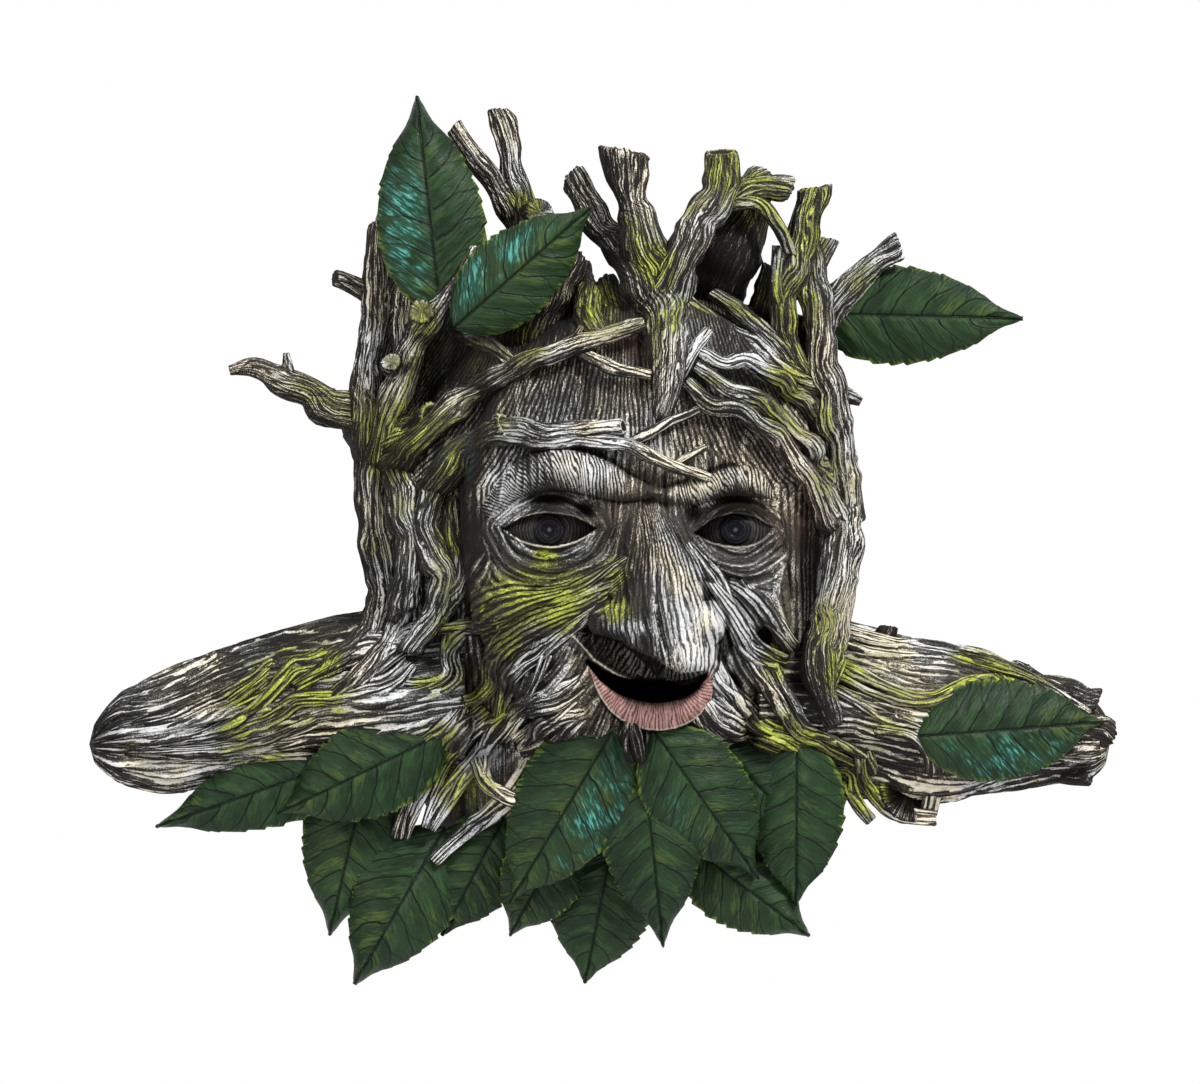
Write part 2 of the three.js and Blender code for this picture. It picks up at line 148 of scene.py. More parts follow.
def clouds(a, b, size, seed):
    """Smooth random hills, 0 to 1, about as wide as size."""
    table = np.random.default_rng(seed).random((CLOUD_CELLS, CLOUD_CELLS))
    a, b = np.asarray(a, float) / size, np.asarray(b, float) / size
    i, j = np.floor(a).astype(int), np.floor(b).astype(int)
    s, t = ease(a - i, 0, 1), ease(b - j, 0, 1)
    i, j = i % CLOUD_CELLS, j % CLOUD_CELLS
    i1, j1 = (i + 1) % CLOUD_CELLS, (j + 1) % CLOUD_CELLS
    return mix(mix(table[i, j], table[i1, j], s), mix(table[i, j1], table[i1, j1], s), t)


# Where the brush left the moss green and the heavier cream, and where it left the dark, which is partly
# plain dark paint and partly painted shade, as in the sockets and on the nose's left flank: x, z, reach,
# strength.
MOSS = [
    (-64, 24, 8, 1), (-44, 13, 6, 1), (-45, 0, 5, 1), (-58, 36, 7, 0.9), (-51, 48, 6, 1), (-48, 58, 5, 1),
    (-40, 24, 7, 0.9), (-28, 34, 6, 0.5), (-60, 10, 6, 0.5), (-37, 53, 5, 1), (-22, 58, 7, 0.7),
    (-84, 44, 9, 0.5), (0, 66, 7, 1), (9, 90, 6, 0.7), (17, 80, 7, 0.9), (19, 66, 6, 0.7),
    (36, 109, 7, 1.2), (46, 98, 9, 0.8), (63, 100, 7, 0.9), (56, 74, 8, 0.8), (64, 36, 8, 0.7),
    (58, 50, 6, 0.6), (76, 77, 8, 0.5), (62, -24, 8, 0.8), (30, 45, 8, 0.4), (50, 36, 9, 0.4),
    (69, -38, 7, 1), (-16, -4.6, 3, 1), (-22, -16, 8, 0.9), (-7, -14, 7, 0.7), (3, -9, 5, 0.5),
    (-34, -20, 8, 0.9), (-12, -22, 5, 0.9), (-30, -30, 6, 1), (-35, -42, 7, 1), (-46, -28, 5, 0.9),
    (-50, -42, 5, 1), (-30, -50, 4, 1), (4, -20, 4, 0.9), (-84, -35, 7, 1.1), (-94, -42, 8, 1),
    (-104, -52, 9, 0.9), (-80, -47, 8, 1), (-102, -66, 9, 0.9), (-100, -36, 8, 0.8), (-48, -62, 8, 1.0),
    (-40, -72, 8, 1.0), (50, -57, 7, 1.2), (60, -61, 6, 1.3), (68, -68, 6, 1.3), (77, -73, 7, 1.1),
    (55, -78, 5, 0.9), (-60.5, 52, 3.5, 0.6), (-52, 66.5, 3.5, 0.6), (-36, 41, 5, 0.7), (-22, 49, 5, 0.4),
    (-70, 34, 8, 0.5), (-56, 30, 7, 0.7), (-46, 34, 7, 0.5), (-54, 66, 6, 0.5), (-22, 98, 5, 1.1),
    (-66, -4, 7, 0.35), (-46, -12, 6, 0.4), (12, 55, 6, 0.4), (24, 100, 7, 0.4), (58, 62, 7, 0.8),
    (61, 88, 7, 0.7), (44, 70, 7, 0.6), (52, 44, 7, 0.6), (68, 18, 7, 0.7), (66, -8, 6, 0.3),
    (32, 66, 6, 0.6), (-3, 70, 6, 0.6), (18, 30, 5, 0.2), (51, -36, 5, 1), (84, -40, 9, 0.7),
    (98, -46, 8, 0.9), (108, -38, 6, 1.2), (122, -41, 9, 1), (80, -58, 8, 0.6),
]
CREAM = [
    (22, -16, 12, 0.2), (24, -32, 10, 0.4), (24, -39, 7, 0.7), (9, -27, 6, 0.5), (-29, 13, 7, 1.0),
    (-18, 15.5, 6, 0.35), (-5, 15, 7, 0.8), (43, 14, 7, 0.5), (24, -42, 6, 0.6), (31, -25, 5, 0.4),
    (26, 11, 5, 0.4), (30, 15, 5, 0.5), (-135, -56, 18, 0.35), (-40, 41, 6, 0.5), (-28, 48, 6, 0.7),
    (-14, 54, 5, 0.6), (0, 59, 5, 0.6), (-26, 32, 5, 0.6), (-12, 30, 5, 0.7), (2, 30, 5, 0.6),
    (16, 24, 5, 0.6), (30, 60, 7, 0.4), (44, 50, 7, 0.35), (54, 38, 7, 0.4), (-38, -70, 14, 0.3),
    (-58, 45, 14, 0.35), (68, 14, 10, 0.45), (70, 30, 7, 0.3), (-28, 22, 5, 0.3), (-10, 20, 6, 0.3),
    (68, -16, 9, 0.3), (-62, -2, 10, 0.2), (-60, -22, 8, 0.2), (88, -37, 14, 0.4), (-44, -8, 7, 0.5),
    (-58, -26, 6, 0.5), (24, 100, 16, 0.3), (-25, 108, 12, 0.05), (-10, 54, 12, 0.2), (-14, 31, 12, 0.2),
    (-62, 60, 14, 0.3), (40, 50, 20, 0.1), (40, -20, 14, 0.3), (-25, -62, 14, 0.3), (-60, -70, 12, 0.25),
    (20, 60, 9, 0.2), (90, -78, 10, 0.3), (-95, -62, 12, 0.3),
]
DARK_AND_SHADE = [
    (-15, 9, 6.5, 1.3), (-4, 7, 6, 0.6), (40, 9.5, 6.5, 1.2), (26, 6, 6, 0.6), (14, 17, 6, 0.35),
    (-34, 4, 5, 0.2), (-66, 0, 5, 0.25), (57, 0, 5, 0.5), (-40, -38, 5, 0.6), (47, -29, 5, 0.5),
    (-51, -33, 5, 0.4), (26, 86, 8, 0.4), (0, -32, 6, 0.5), (-40, 70, 8, 0.3), (112, -56, 9, 0.4),
    (66, -52, 6, 0.4), (17, -45, 9, 0.3), (-28, 60, 7, 0.3), (90, -66, 8, 0.3), (58, -42, 8, 0.8),
    (-12, 42, 20, 0.3), (38, 32, 12, 0.3), (4, 2, 5, 0.4), (-46, 60, 14, 0.3), (-8, 76, 12, 0.4),
    (-14, -8, 11, 0.45), (40, -8, 10, 0.45), (-21, 22, 5, 0.35), (-34, 0, 6, 0.3), (9, 78, 9, 0.6),
    (13, 62, 6, 0.4), (-146, -60, 9, 0.5), (-138, -50, 7, 0.5), (-40, 0, 7, 0.4), (-76, -27, 7, 0.9),
    (-92, -31, 7, 0.9), (8, 109, 8, 0.5), (-108, -37, 7, 0.6), (-124, -44, 6, 0.5), (14, 15, 5, 0.3),
    (57, 2, 5, 0.5), (57, -14, 4, 0.4), (9, -4, 5, 0.6), (9, -13, 4.5, 0.9), (10, -21, 3.5, 0.8),
    (12, -29, 3, 0.5), (9, -57, 4, 0.9), (10, -65, 5, 0.9),
]
MOSS_PATCH, MOSS_THIN, MOSS_THICK = 9, 0.55, 1.25
CREAM_COAT, CREAM_PATCH, CREAM_DRIFT = 0.42, 14, 0.3


def brushed(spots, x, z):
    return sum(strength * bump(np.hypot(x - sx, z - sz), reach) for sx, sz, reach, strength in spots)


def painted(x, z):
    """How much moss and cream the brush left at places on the front, with less cream where shade is
    painted.
    """
    patch = clouds(x + 200, z + 200, MOSS_PATCH, 5)
    moss = np.clip(brushed(MOSS, x, z) * mix(MOSS_THIN, MOSS_THICK, patch), 0, 1)
    drift = CREAM_DRIFT * (clouds(x + 300, z + 300, CREAM_PATCH, 8) - 0.5)
    cream = CREAM_COAT + brushed(CREAM, x, z) - brushed(DARK_AND_SHADE, x, z) + drift
    return {"moss": moss, "cream": np.clip(cream, -1.1, 1)}


def sheet_faces(rows, columns, ring=False):
    """The four-sided faces of a net of vertices, laid out in rows, joined end to end if it is a ring."""
    ids = np.arange(rows * columns).reshape(rows, columns)
    if ring:
        ids = np.concatenate([ids, ids[:, :1]], axis=1)
    faces = np.stack([ids[:-1, :-1], ids[:-1, 1:], ids[1:, 1:], ids[1:, :-1]], axis=-1)
    return faces.reshape(-1, 4).tolist()


def net_edge(rows, columns):
    """The vertices round the edge of a net, in order."""
    ids = np.arange(rows * columns).reshape(rows, columns)
    return np.concatenate([ids[0, :-1], ids[:-1, -1], ids[-1, :0:-1], ids[:0:-1, 0]])


def band_faces(last, new):
    """The faces between two closed rows of vertices."""
    return [[int(last[i - 1]), int(last[i]), int(new[i]), int(new[i - 1])] for i in range(len(last))]


def fan_faces(row, middle):
    """The faces between a closed row of vertices and one in its middle."""
    return [[int(row[i - 1]), int(row[i]), middle] for i in range(len(row))]


def casting(name, points, faces, material, values=(), grain=None):
    """A closed mesh, its points in millimetres, with what the paint needs to know at each point."""
    mesh = bpy.data.meshes.new(name)
    mesh.from_pydata((np.asarray(points) * MM).tolist(), [], faces)
    for label, numbers in dict(values).items():
        layer = mesh.attributes.new(label, "FLOAT", "POINT")
        layer.data.foreach_set("value", np.asarray(numbers, np.float32).ravel())
    if grain is not None:
        layer = mesh.attributes.new("grain", "FLOAT_VECTOR", "POINT")
        layer.data.foreach_set("vector", np.asarray(grain, np.float32).ravel())
    shell = bmesh.new()
    shell.from_mesh(mesh)
    bmesh.ops.recalc_face_normals(shell, faces=shell.faces)
    shell.to_mesh(mesh)
    shell.free()
    mesh.shade_smooth()
    mesh.materials.append(material)
    piece = bpy.data.objects.new(name, mesh)
    bpy.context.collection.objects.link(piece)
    return piece


class Finish:
    """A material and the short ways to add its nodes."""

    def __init__(self, name):
        self.material = bpy.data.materials.new(name)
        self.material.use_nodes = True
        self.nodes = self.material.node_tree.nodes
        self.links = self.material.node_tree.links
        self.shader = self.nodes["Principled BSDF"]

    def feed(self, socket, value):
        if isinstance(value, bpy.types.NodeSocket):
            self.links.new(value, socket)
        else:
            socket.default_value = value

    def read(self, label, vector=False):
        """What the mesh notes at each point under a label."""
        node = self.nodes.new("ShaderNodeAttribute")
        node.attribute_name = label
        return node.outputs["Vector" if vector else "Fac"]

    def place(self):
        return self.nodes.new("ShaderNodeTexCoord").outputs["Object"]

    def stretch(self, vector, scale):
        node = self.nodes.new("ShaderNodeMapping")
        self.feed(node.inputs["Vector"], vector)
        node.inputs["Scale"].default_value = scale
        return node.outputs["Vector"]

    def noise(self, vector, scale, detail=3, roughness=0.55):
        node = self.nodes.new("ShaderNodeTexNoise")
        self.feed(node.inputs["Vector"], vector)
        for label, number in (("Scale", scale), ("Detail", detail), ("Roughness", roughness)):
            node.inputs[label].default_value = number
        return node.outputs["Fac"]

    def facing(self, direction):
        """How squarely the surface faces a direction, from 1 to -1."""
        normal = self.nodes.new("ShaderNodeTexCoord").outputs["Normal"]
        split = self.nodes.new("ShaderNodeSeparateXYZ")
        self.feed(split.inputs["Vector"], normal)
        return self.sum(*((split.outputs[axis], share) for axis, share in zip("XYZ", direction)))

    def reckon(self, operation, *values):
        node = self.nodes.new("ShaderNodeMath")
        node.operation = operation
        for socket, value in zip(node.inputs, values):
            self.feed(socket, value)
        return node.outputs[0]

    def grooves(self, count):
        """Lines across which a count rises: 0 where it is whole and 0.5 halfway between."""
        return self.reckon("PINGPONG", count, 0.5)

    def sum(self, *parts):
        """Adds up pairs of a value and its weight."""
        total = 0.0
        for value, weight in parts:
            total = self.reckon("MULTIPLY_ADD", value, weight, total)
        return total

    def times(self, a, b):
        return self.reckon("MULTIPLY", a, b)

    def step(self, value, low, high, start=0.0, end=1.0):
        """A smooth step from start at low to end at high."""
        node = self.nodes.new("ShaderNodeMapRange")
        node.interpolation_type = "SMOOTHSTEP"
        self.feed(node.inputs["Value"], value)
        for label, number in (("From Min", low), ("From Max", high), ("To Min", start), ("To Max", end)):
            node.inputs[label].default_value = number
        return node.outputs["Result"]

    def blend(self, share, a, b):
        node = self.nodes.new("ShaderNodeMix")
        node.data_type = "RGBA"
        self.feed(node.inputs["Factor"], share)
        for label, colour in (("A", a), ("B", b)):
            joined = isinstance(colour, bpy.types.NodeSocket)
            self.feed(node.inputs[label], colour if joined else (*colour, 1))
        return node.outputs["Result"]

    def relief(self, height, strength, distance):
        """A fine unevenness, its distance in metres."""
        node = self.nodes.new("ShaderNodeBump")
        self.feed(node.inputs["Height"], height)
        node.inputs["Strength"].default_value = strength
        node.inputs["Distance"].default_value = distance
        self.feed(self.shader.inputs["Normal"], node.outputs["Normal"])


NEAR_BLACK = (0.010, 0.0088, 0.0078)
SHADE_AND_CORE_BLACK = (0.004, 0.0035, 0.003)
GREY_BROWN = (0.046, 0.040, 0.033)
RED_BROWN = (0.075, 0.040, 0.028)
TEAL_SHADE = (0.045, 0.075, 0.09)
WORN_COOL, WORN_WARM = (0.155, 0.158, 0.155), (0.20, 0.17, 0.12)
CREAM_COOL, CREAM_WARM = (0.73, 0.74, 0.74), (0.83, 0.76, 0.60)
MOSS_SHADE, MOSS_PAINT, MOSS_PALE = (0.16, 0.18, 0.022), (0.44, 0.50, 0.035), (0.58, 0.61, 0.20)
OLIVE = (0.11, 0.115, 0.024)
LIP_PINK = (0.57, 0.335, 0.30)
LIP_SHADE = (0.11, 0.045, 0.04)
# The ground's stains: patches a metre, their detail, where one starts and is full, its strength and colour.
GROUND_STAINS = [
    (45, 3, 0.4, 0.66, 1.0, GREY_BROWN),
    (24, 2, 0.56, 0.7, 0.6, RED_BROWN),
    (33, 2, 0.6, 0.72, 0.5, TEAL_SHADE),
]
# Scales of noise: strokes a millimetre along and across the grain, and specks a metre.
STROKES_ALONG, STROKES_ACROSS = 0.07, 1.25
WANDER_SCALE, SPECK_SCALE, WARMTH_SCALE, FRESH_MOSS_SCALE = 170, 2100, 30, 420
STRAND_SHARE, STREAK_SHARE, HAIR_SHARE, SPECK_SHARE = 0.5, 0.2, 0.12, 0.18
GROOVE_DEPTH, GROOVE_BREAKS = 0.85, 0.45
# The brush came from the key light's side. Sides turned from it get less cream and moss, partly as the
# brush left them and partly as painted shade.
LIGHT_AND_BRUSH_FROM = (0.40, -0.87, 0.28)
TURNED_AWAY = -0.27
CREAM_WEIGHT, MOSS_WEIGHT = 0.3, 0.14


def stroke_noise(paint, grain, along, across, detail=2, roughness=0.55):
    """Noise drawn out along the grain, some times finer than the strokes each way."""
    scale = (STROKES_ALONG * along, STROKES_ACROSS * across, 1)
    return paint.noise(paint.stretch(grain, scale), 1.0, detail, roughness)


def bark_height(paint, grain):
    """How raised the bark is, 0 to 1: cut strings, streaks, hairs and specks, which the brush catches."""
    count = paint.sum((paint.read("run"), 1.0), (paint.noise(paint.place(), WANDER_SCALE, 2), 0.8))
    breaks = stroke_noise(paint, grain, 3, 0.7)
    off_groove = paint.sum(
        (paint.grooves(count), 1.0), (paint.read("gap"), -1.0), (breaks, -GROOVE_BREAKS))
    crest = paint.step(off_groove, -0.21, -0.03)
    halves = paint.sum((paint.grooves(paint.times(count, 2.0)), 1.0), (breaks, -0.5))
    halves = paint.step(halves, -0.22, 0.02)
    split = paint.read("split")
    crest = paint.times(crest, paint.sum((1.0, 1.0), (split, -1.0), (paint.times(split, halves), 1.0)))
    lined = paint.read("lined")
    unlined = paint.sum((1.0, 1.0), (lined, -1.0))
    strand = paint.sum(
        (paint.times(paint.read("strand"), unlined), 1.0), (paint.times(crest, lined), GROOVE_DEPTH))
    streaks = paint.step(stroke_noise(paint, grain, 1, 1, 3, 0.6), 0.34, 0.66)
    hairs = paint.step(stroke_noise(paint, grain, 2, 2.2), 0.36, 0.64)
    specks = paint.step(paint.noise(paint.place(), SPECK_SCALE, 2, 0.7), 0.34, 0.66)
    return paint.sum(
        (strand, STRAND_SHARE), (streaks, STREAK_SHARE), (hairs, HAIR_SHARE), (specks, SPECK_SHARE))


def creamed(paint, grain, ground, height, facing):
    """The ground, worn grey and then dry-brushed with cream where the brush reached. Sides turned from the
    light get less of both, partly as the brush left them and partly as painted shade.
    """
    reached = paint.sum((facing, 1.0), (height, 1.0), (paint.read("cream"), CREAM_WEIGHT))
    warmth = paint.step(paint.noise(paint.place(), WARMTH_SCALE, 2), 0.42, 0.6)
    worn = paint.step(reached, 0.44, 0.76, 0, 0.72)
    colour = paint.blend(worn, ground, paint.blend(warmth, WORN_COOL, WORN_WARM))
    bare = paint.step(stroke_noise(paint, grain, 6, 1.6, 2, 0.7), 0.5, 0.66, 1.0, 0.45)
    cover = paint.times(paint.step(reached, 0.66, 0.84, 0, 0.96), bare)
    return paint.blend(cover, colour, paint.blend(warmth, CREAM_COOL, CREAM_WARM))


def mossed(paint, grain, colour, height, facing):
    """Lime paint over an olive haze, in dabs where the moss was brushed. Sides turned from the light get
    less and darker lime, partly as the brush left it and partly as painted shade.
    """
    dabs = paint.step(stroke_noise(paint, grain, 0.7, 0.6), 0.36, 0.58, 0.55, 1.2)
    moss = paint.times(paint.read("moss"), dabs)
    reached = paint.sum((facing, 1.0), (height, 1.0), (moss, MOSS_WEIGHT))
    haze = paint.times(paint.step(moss, 0.04, 0.6), paint.step(reached, 0.35, 0.7))
    colour = paint.blend(paint.times(haze, 0.7), colour, OLIVE)
    green = paint.times(paint.step(reached, 0.52, 0.72), paint.step(moss, 0.08, 0.55))
    pale = paint.step(paint.noise(paint.place(), FRESH_MOSS_SCALE, 2), 0.45, 0.62)
    fresh = paint.blend(pale, MOSS_PAINT, MOSS_PALE)
    lime = paint.blend(paint.step(reached, 0.66, 0.84), MOSS_SHADE, fresh)
    return paint.blend(paint.times(green, 0.9), colour, lime)


def bark_finish(name):
    """Near-black paint, dry-brushed along the grain by a brush that comes from one side, the key light's
    side, so sides turned from it stay darker: partly the brush and partly painted shade.
    """
    paint = Finish(name)
    grain = paint.read("grain", vector=True)
    height = bark_height(paint, grain)
    ground = NEAR_BLACK
    for patches, detail, thin, full, strength, stain in GROUND_STAINS:
        cover = paint.step(paint.noise(paint.place(), patches, detail), thin, full, 0, strength)
        ground = paint.blend(cover, ground, stain)
    ground = paint.blend(paint.step(height, 0.25, 0.5, 0.92, 0.0), ground, NEAR_BLACK)
    # Partly painted shade: sides turned from the light are brushed less.
    facing = paint.step(paint.facing(LIGHT_AND_BRUSH_FROM), -0.15, 0.85, TURNED_AWAY, 0.0)
    colour = creamed(paint, grain, ground, height, facing)
    colour = mossed(paint, grain, colour, height, facing)
    lip = paint.blend(paint.step(height, 0.28, 0.68), LIP_SHADE, LIP_PINK)
    colour = paint.blend(paint.step(paint.read("pink"), 0.2, 0.8), colour, lip)
    rim = paint.step(paint.sum((paint.read("rim"), 0.8), (height, 0.5)), 0.6, 1.05, 0, 0.75)
    colour = paint.blend(rim, colour, CREAM_WARM)
    # Painted shade: hollows, creases, the mouth's gap, gaps between parts and the shaded boughs go
    # near-black and lose their sheen. The cores of sawn ends are darkened with the same black.
    hollow = paint.step(paint.read("hollow"), 0.1, 0.9, 0, 0.995)
    colour = paint.blend(hollow, colour, SHADE_AND_CORE_BLACK)
    paint.feed(paint.shader.inputs["Base Color"], colour)
    paint.feed(paint.shader.inputs["Roughness"], paint.step(height, 0.3, 0.8, 0.55, 0.8))
    paint.feed(paint.shader.inputs["Specular IOR Level"], paint.step(hollow, 0.2, 0.8, 0.14, 0.0))
    paint.relief(height, 0.7, 0.0009)
    return paint.material


bark = bark_finish("dry_brushed_bark")

# The grain of the head's bark, drawn as lines that the strokes follow. First the forehead and temples,
# then the brows, the eyes, the nose, the cheeks and the chin.
GRAIN_LINES = [
    [(-50, 30), (-46, 50), (-40, 70)], [(-20, 26), (-22, 45), (-24, 72)], [(8, 26), (8, 45), (4, 74)],
    [(24, 20), (26, 45), (28, 74)], [(40, 26), (44, 45), (50, 70)], [(56, 20), (58, 40), (62, 64)],
    [(-60, 20), (-60, -10), (-56, -40)], [(66, 20), (64, -10), (62, -40)],
    [(-38, 8), (-34, 13)], [(-31, 13), (-30, 22)], [(-22, 15), (-22, 25)], [(-13, 16), (-15, 26)],
    [(-5, 14), (-4, 25)], [(4, 11), (5, 22)], [(12, 8), (13, 20)], [(20, 8), (20, 19)],
    [(27, 10), (26, 18)], [(34, 14), (33, 22)], [(41, 16), (41, 23)], [(48, 14), (50, 21)],
    [(54, 9), (58, 14)],
    [(-30, 5), (-24, 9.5), (-15, 12.5), (-7, 10), (-1, 4)],
    [(-30, 2), (-26, -4.5), (-15, -8), (-5, -5), (0, 2)],
    [(-33, 0), (-28, -8), (-16, -12), (-4, -9)], [(27, 3), (33, 9), (42, 11), (51, 5)],
    [(26, 0), (32, -6), (42, -7.5), (52, -1)], [(27, -5), (34, -10), (44, -11), (54, -5)],
    [(13, 9), (16, -5), (17, -20), (20, -38)], [(17, 9), (21, -5), (25, -20), (26, -38)],
    [(8, 8), (6, -4), (8, -16)], [(22, 4), (28, -10), (32, -22)],
    [(6, -6), (-6, -15), (-24, -23), (-44, -29)],
    [(2, -12), (-12, -20), (-28, -27), (-36, -38), (-40, -46)],
    [(-2, -20), (-14, -26), (-24, -34), (-28, -46)], [(-36, -6), (-42, -14), (-50, -22)],
    [(-6, -30), (-12, -40), (-26, -52)], [(-2, -42), (-10, -50), (-22, -60)], [(6, -56), (2, -66)],
    [(27, -4), (34, -16), (42, -32), (50, -44)], [(34, -10), (44, -18), (54, -30)],
    [(34, -26), (38, -38), (48, -50)], [(32, -44), (38, -52), (52, -58)], [(54, 0), (56, -12), (57, -26)],
    [(-4, -26), (-3, -31)], [(4, -26), (4, -36)], [(12, -32), (12, -40)], [(26, -54), (30, -64)],
    [(6, -44), (4, -50)], [(14, -47), (14, -55)], [(24, -46), (25, -54)], [(30, -42), (33, -47)],
]
GRAIN_PITCH = 0.36
HEADING_STRIDE = 4
grain_x = np.arange(-68, 74, GRAIN_PITCH)
grain_z = np.arange(-78, 80, GRAIN_PITCH)


def grain_heading():
    """The grain's direction over the head, a blend of the nearest grain lines."""
    x, z = np.meshgrid(grain_x[::HEADING_STRIDE], grain_z[::HEADING_STRIDE])
    twice_x, twice_z = np.zeros(x.shape), np.zeros(x.shape)
    for line in GRAIN_LINES:
        distance, _, dx, dz = nearest(x, z, line)
        pull = 1 / (distance ** 2 + 1.5) ** 1.6
        twice_x += pull * (dx * dx - dz * dz)
        twice_z += pull * 2 * dx * dz
    half = np.arctan2(twice_z, twice_x) / 2
    rows = np.clip(np.arange(len(grain_z)) // HEADING_STRIDE, 0, x.shape[0] - 1)
    columns = np.clip(np.arange(len(grain_x)) // HEADING_STRIDE, 0, x.shape[1] - 1)
    full = half[np.ix_(rows, columns)]
    return np.cos(full), np.sin(full)


def box_mean(values, reach):
    """The mean of each value's neighbours, up to reach steps away both ways."""
    span = 2 * reach + 1
    for axis in (0, 1):
        margin = [(reach + 1, reach) if a == axis else (0, 0) for a in (0, 1)]
        sums = np.cumsum(np.pad(values, margin, mode="edge"), axis)
        ahead = np.take(sums, range(span, sums.shape[axis]), axis)
        behind = np.take(sums, range(sums.shape[axis] - span), axis)
        values = (ahead - behind) / span
    return values


def softened(values, times):
    """Values averaged with their neighbours, a few times over."""
    for _ in range(times):
        padded = np.pad(values, 1, mode="edge")
        around = padded[:-2, 1:-1] + padded[2:, 1:-1] + padded[1:-1, :-2] + padded[1:-1, 2:]
        values = (around + 2 * values) / 6
    return values


def read_net(net, r, c):
    """A net of values, read between its points."""
    i = np.clip(np.floor(r).astype(int), 0, net.shape[0] - 2)
    j = np.clip(np.floor(c).astype(int), 0, net.shape[1] - 2)
    t, s = np.clip(r - i, 0, 1), np.clip(c - j, 0, 1)
    return mix(mix(net[i, j], net[i, j + 1], s), mix(net[i + 1, j], net[i + 1, j + 1], s), t)


def combed(dots, heading_x, heading_z, steps, evened):
    """Random dots dragged along the grain both ways, as by a wire brush, then evened out."""
    rows, columns = np.indices(dots.shape).astype(float)
    total = dots.copy()
    for way in (1, -1):
        c, r = columns, rows
        px, pz = heading_x * way, heading_z * way
        for _ in range(steps):
            i = np.clip(np.rint(r).astype(int), 0, dots.shape[0] - 1)
            j = np.clip(np.rint(c).astype(int), 0, dots.shape[1] - 1)
            hx, hz = heading_x[i, j], heading_z[i, j]
            same = np.where(hx * px + hz * pz < 0, -1, 1)
            px, pz = hx * same, hz * same
            c, r = c + px, r + pz
            total += read_net(dots, r, c)
    total -= box_mean(total, evened)
    total /= np.sqrt(box_mean(total ** 2, 2 * evened)) + 1e-6
    return np.clip(0.5 + 0.28 * total, 0, 1)


heading_x, heading_z = grain_heading()
fine_dots, coarse_dots = (np.random.default_rng(seed).random(heading_x.shape) for seed in (11, 12))
fine_grain = combed(fine_dots, heading_x, heading_z, 22, 4)
coarse_grain = combed(softened(coarse_dots, 5), heading_x, heading_z, 30, 14)


def head_grain(x, z):
    """The fine and the coarse grain at places on the head, and where the paint's strokes lie on them."""
    r, c = (z - grain_z[0]) / GRAIN_PITCH, (x - grain_x[0]) / GRAIN_PITCH
    fine, coarse = read_net(fine_grain, r, c), read_net(coarse_grain, r, c)
    return fine, coarse, np.stack([0 * x, 3 * fine + 5 * coarse, 0 * x], axis=-1)


FOREHEAD_STROKE = 1.35
FOREHEAD_WAVER = 1.6


def forehead_run(x, z):
    """Which of the forehead's upright strokes a place is on."""
    waver = FOREHEAD_WAVER * clouds(0.9 * x + 80, 0.16 * z + 80, 4, 33)
    return x / FOREHEAD_STROKE + waver + 0.01 * (x - 8) * (np.clip(z, 16, 70) - 40)


FACE_PATCH = ((9, -14), 50, 50)
SUNK_BEHIND_FACE = 20
HEAD_COARSE_RELIEF, HEAD_FINE_RELIEF = 1.5, 0.6
HEAD_ROWS, HEAD_COLUMNS, SKIRT_ROWS = 180, 164, 8
HEAD_BACK = 9.3
SKIRT_SWELL = 1.2


def patch_edge(x, z):
    """How deep a place lies inside the finely carved face, in millimetres from its edge."""
    (cx, cz), half_width, half_height = FACE_PATCH
    return (1 - np.hypot((x - cx) / half_width, (z - cz) / half_height)) * half_width


def head_mesh():
    """The head's front, a skirt down to the slab at its back, and a flat back inside the slab."""
    v, u = np.meshgrid(np.linspace(-1, 1, HEAD_ROWS), np.linspace(-1, 1, HEAD_COLUMNS), indexing="ij")
    x, z = rounded_square(u, v, *HEAD, CROWN_SQUARENESS)
    fine, coarse, _ = head_grain(x, z)
    relief = HEAD_COARSE_RELIEF * (coarse - 0.5) + HEAD_FINE_RELIEF * (fine - 0.5)
    depth = head_form(x, z) + relief - SUNK_BEHIND_FACE * ease(patch_edge(x, z), 3, 13)
    front = np.stack([x, -depth, z], axis=-1).reshape(-1, 3)
    last = net_edge(HEAD_ROWS, HEAD_COLUMNS)
    rim = front[last]
    count = len(rim)
    away = rim[:, [0, 2]] - np.array(HEAD[0])
    away /= np.linalg.norm(away, axis=1, keepdims=True)
    faces = sheet_faces(HEAD_ROWS, HEAD_COLUMNS)
    rows = [front]
    for k in range(1, SKIRT_ROWS + 1):
        t = k / SKIRT_ROWS
        row = rim.copy()
        row[:, 1] = mix(rim[:, 1], -HEAD_BACK, t)
        uneven = clouds(np.arange(count), np.full(count, 4.0 * k), 7, 3) - 0.2
        row[:, [0, 2]] += away * (SKIRT_SWELL * math.sin(math.pi * t) * uneven)[:, None]
        new = np.arange(count) + len(front) + (k - 1) * count
        faces += band_faces(last, new)
        rows.append(row)
        last = new
    rows.append(np.array([[HEAD[0][0], -HEAD_BACK, HEAD[0][1]]]))
    faces += fan_faces(last, int(last[-1]) + 1)
    return np.concatenate(rows), faces


points, faces = head_mesh()
x, z = points[:, 0], points[:, 2]
fine, coarse, grain = head_grain(x, z)
notes = painted(x, z)
notes = {
    "strand": 0.8 * fine + 0.2 * coarse,
    "run": forehead_run(x, z),
    "lined": np.full(len(points), 0.6),
    "gap": 0.06 + 0.14 * (1 - coarse),
    "moss": 0.3 * notes["moss"],
    # The head is painted darker up under the crown, as the boughs' shade, and a strip by the right trunks
    # is painted dark as the shade there.
    "cream": notes["cream"] - 0.14 - 0.6 * ease(z + 0.3 * np.abs(x), 48, 62),
    "hollow": 0.8 * dome(x, z, (61, -10), 5, 28),
}
head = casting("head", points, faces, bark, notes, grain)
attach(head, "root")
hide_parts("green_man_mask")

